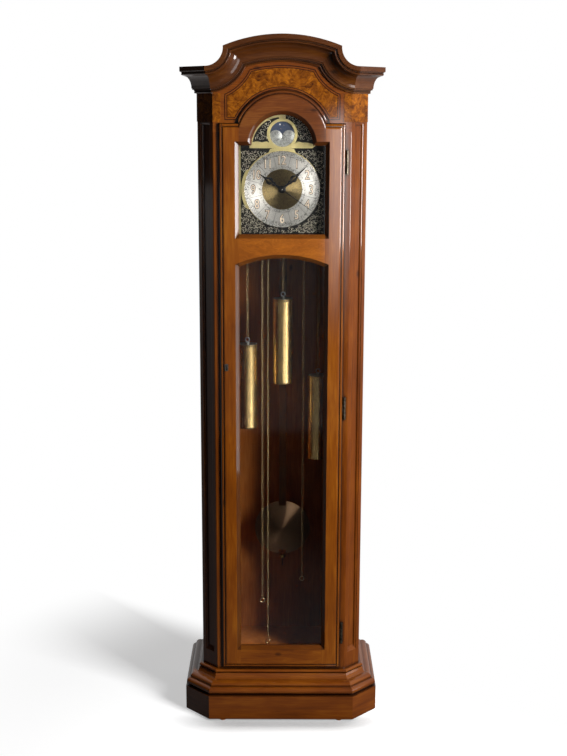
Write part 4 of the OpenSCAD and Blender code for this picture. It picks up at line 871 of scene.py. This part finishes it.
# Lamps: one soft key lamp lights the clock. Two strips at the right and a soft box in front light
# nothing, and only show as reflections in the lacquer and the brass.
def add_lamp(name, place, aim, size, power, lights=True):
    """A rectangular soft lamp that faces the point aim. Where lights is off it only shows as a reflection."""
    light = bpy.data.lights.new(name, "AREA")
    light.shape, light.size, light.size_y, light.energy = "RECTANGLE", size[0], size[1], power
    lamp = add_object(name, light)
    lamp.location = place
    way = np.array(aim, float) - np.array(place, float)
    lamp.rotation_euler = (math.atan2(math.hypot(way[0], way[1]), -way[2]), 0, math.atan2(-way[0], way[1]))
    lamp.visible_camera = False
    lamp.visible_diffuse = lights


add_lamp("key_lamp", (1.93, -1.86, 1.9), (0, 0, 1.0), (0.9, 1.6), 152)
add_lamp("side_strip", (2.15, -0.2, 1.75), (0, -0.1, 1.75), (0.14, 1.2), 10, lights=False)
add_lamp("low_strip", (2.15, -0.2, 0.6), (0, -0.1, 0.6), (0.14, 1.0), 1.3, lights=False)
add_lamp("metal_box", (1.1, -4.1, 1.6), (0.1, 0, 1.45), (1.0, 1.4), 19, lights=False)

# Haze card: a tall card with soft borders beside the camera, which glows as a lit window would. It
# lights nothing, and shows as a pale haze down the right of the trunk glass.
card_mesh = bpy.data.meshes.new("haze_card")
card_mesh.from_pydata([(0.2, -4.1, 0.2), (0.46, -4.1, 0.2), (0.46, -4.1, 2.1), (0.2, -4.1, 2.1)], [],
                      [(3, 2, 1, 0)])
card_glow, add, place = new_finish("window haze")
spot = add("SeparateXYZ", [place], out=None)
glow = 8.5
for axis, low, high in ((0, 0.235, 0.31), (0, 0.42, 0.36), (2, 0.35, 1.5), (2, 1.9, 1.7)):
    fade = add("MapRange", (spot[axis], low, high), interpolation_type="SMOOTHSTEP")
    glow = add("Math", (fade, glow), operation="MULTIPLY")
add("OutputMaterial", {"Surface": add("Emission", {"Strength": glow})}, out=None)
card_mesh.materials.append(card_glow)
card = add_object("haze_card", card_mesh)
card.visible_camera = card.visible_diffuse = card.visible_shadow = card.visible_transmission = False

# Camera: a 59 mm lens at standing height, 1.78 m up and 3.6 m in front, looking down by 12 degrees,
# as in the photograph.
lens = bpy.data.cameras.new("camera")
lens.lens, lens.sensor_width, lens.sensor_fit = 59.01, 36, "AUTO"
camera = add_object("camera", lens)
camera.location = (0.0053, -3.612, 1.781)
camera.rotation_mode = "ZXY"
camera.rotation_euler = (math.radians(90 - 11.887), 0, math.radians(0.16))
scene.camera = camera
scene.view_settings.view_transform = "Standard"
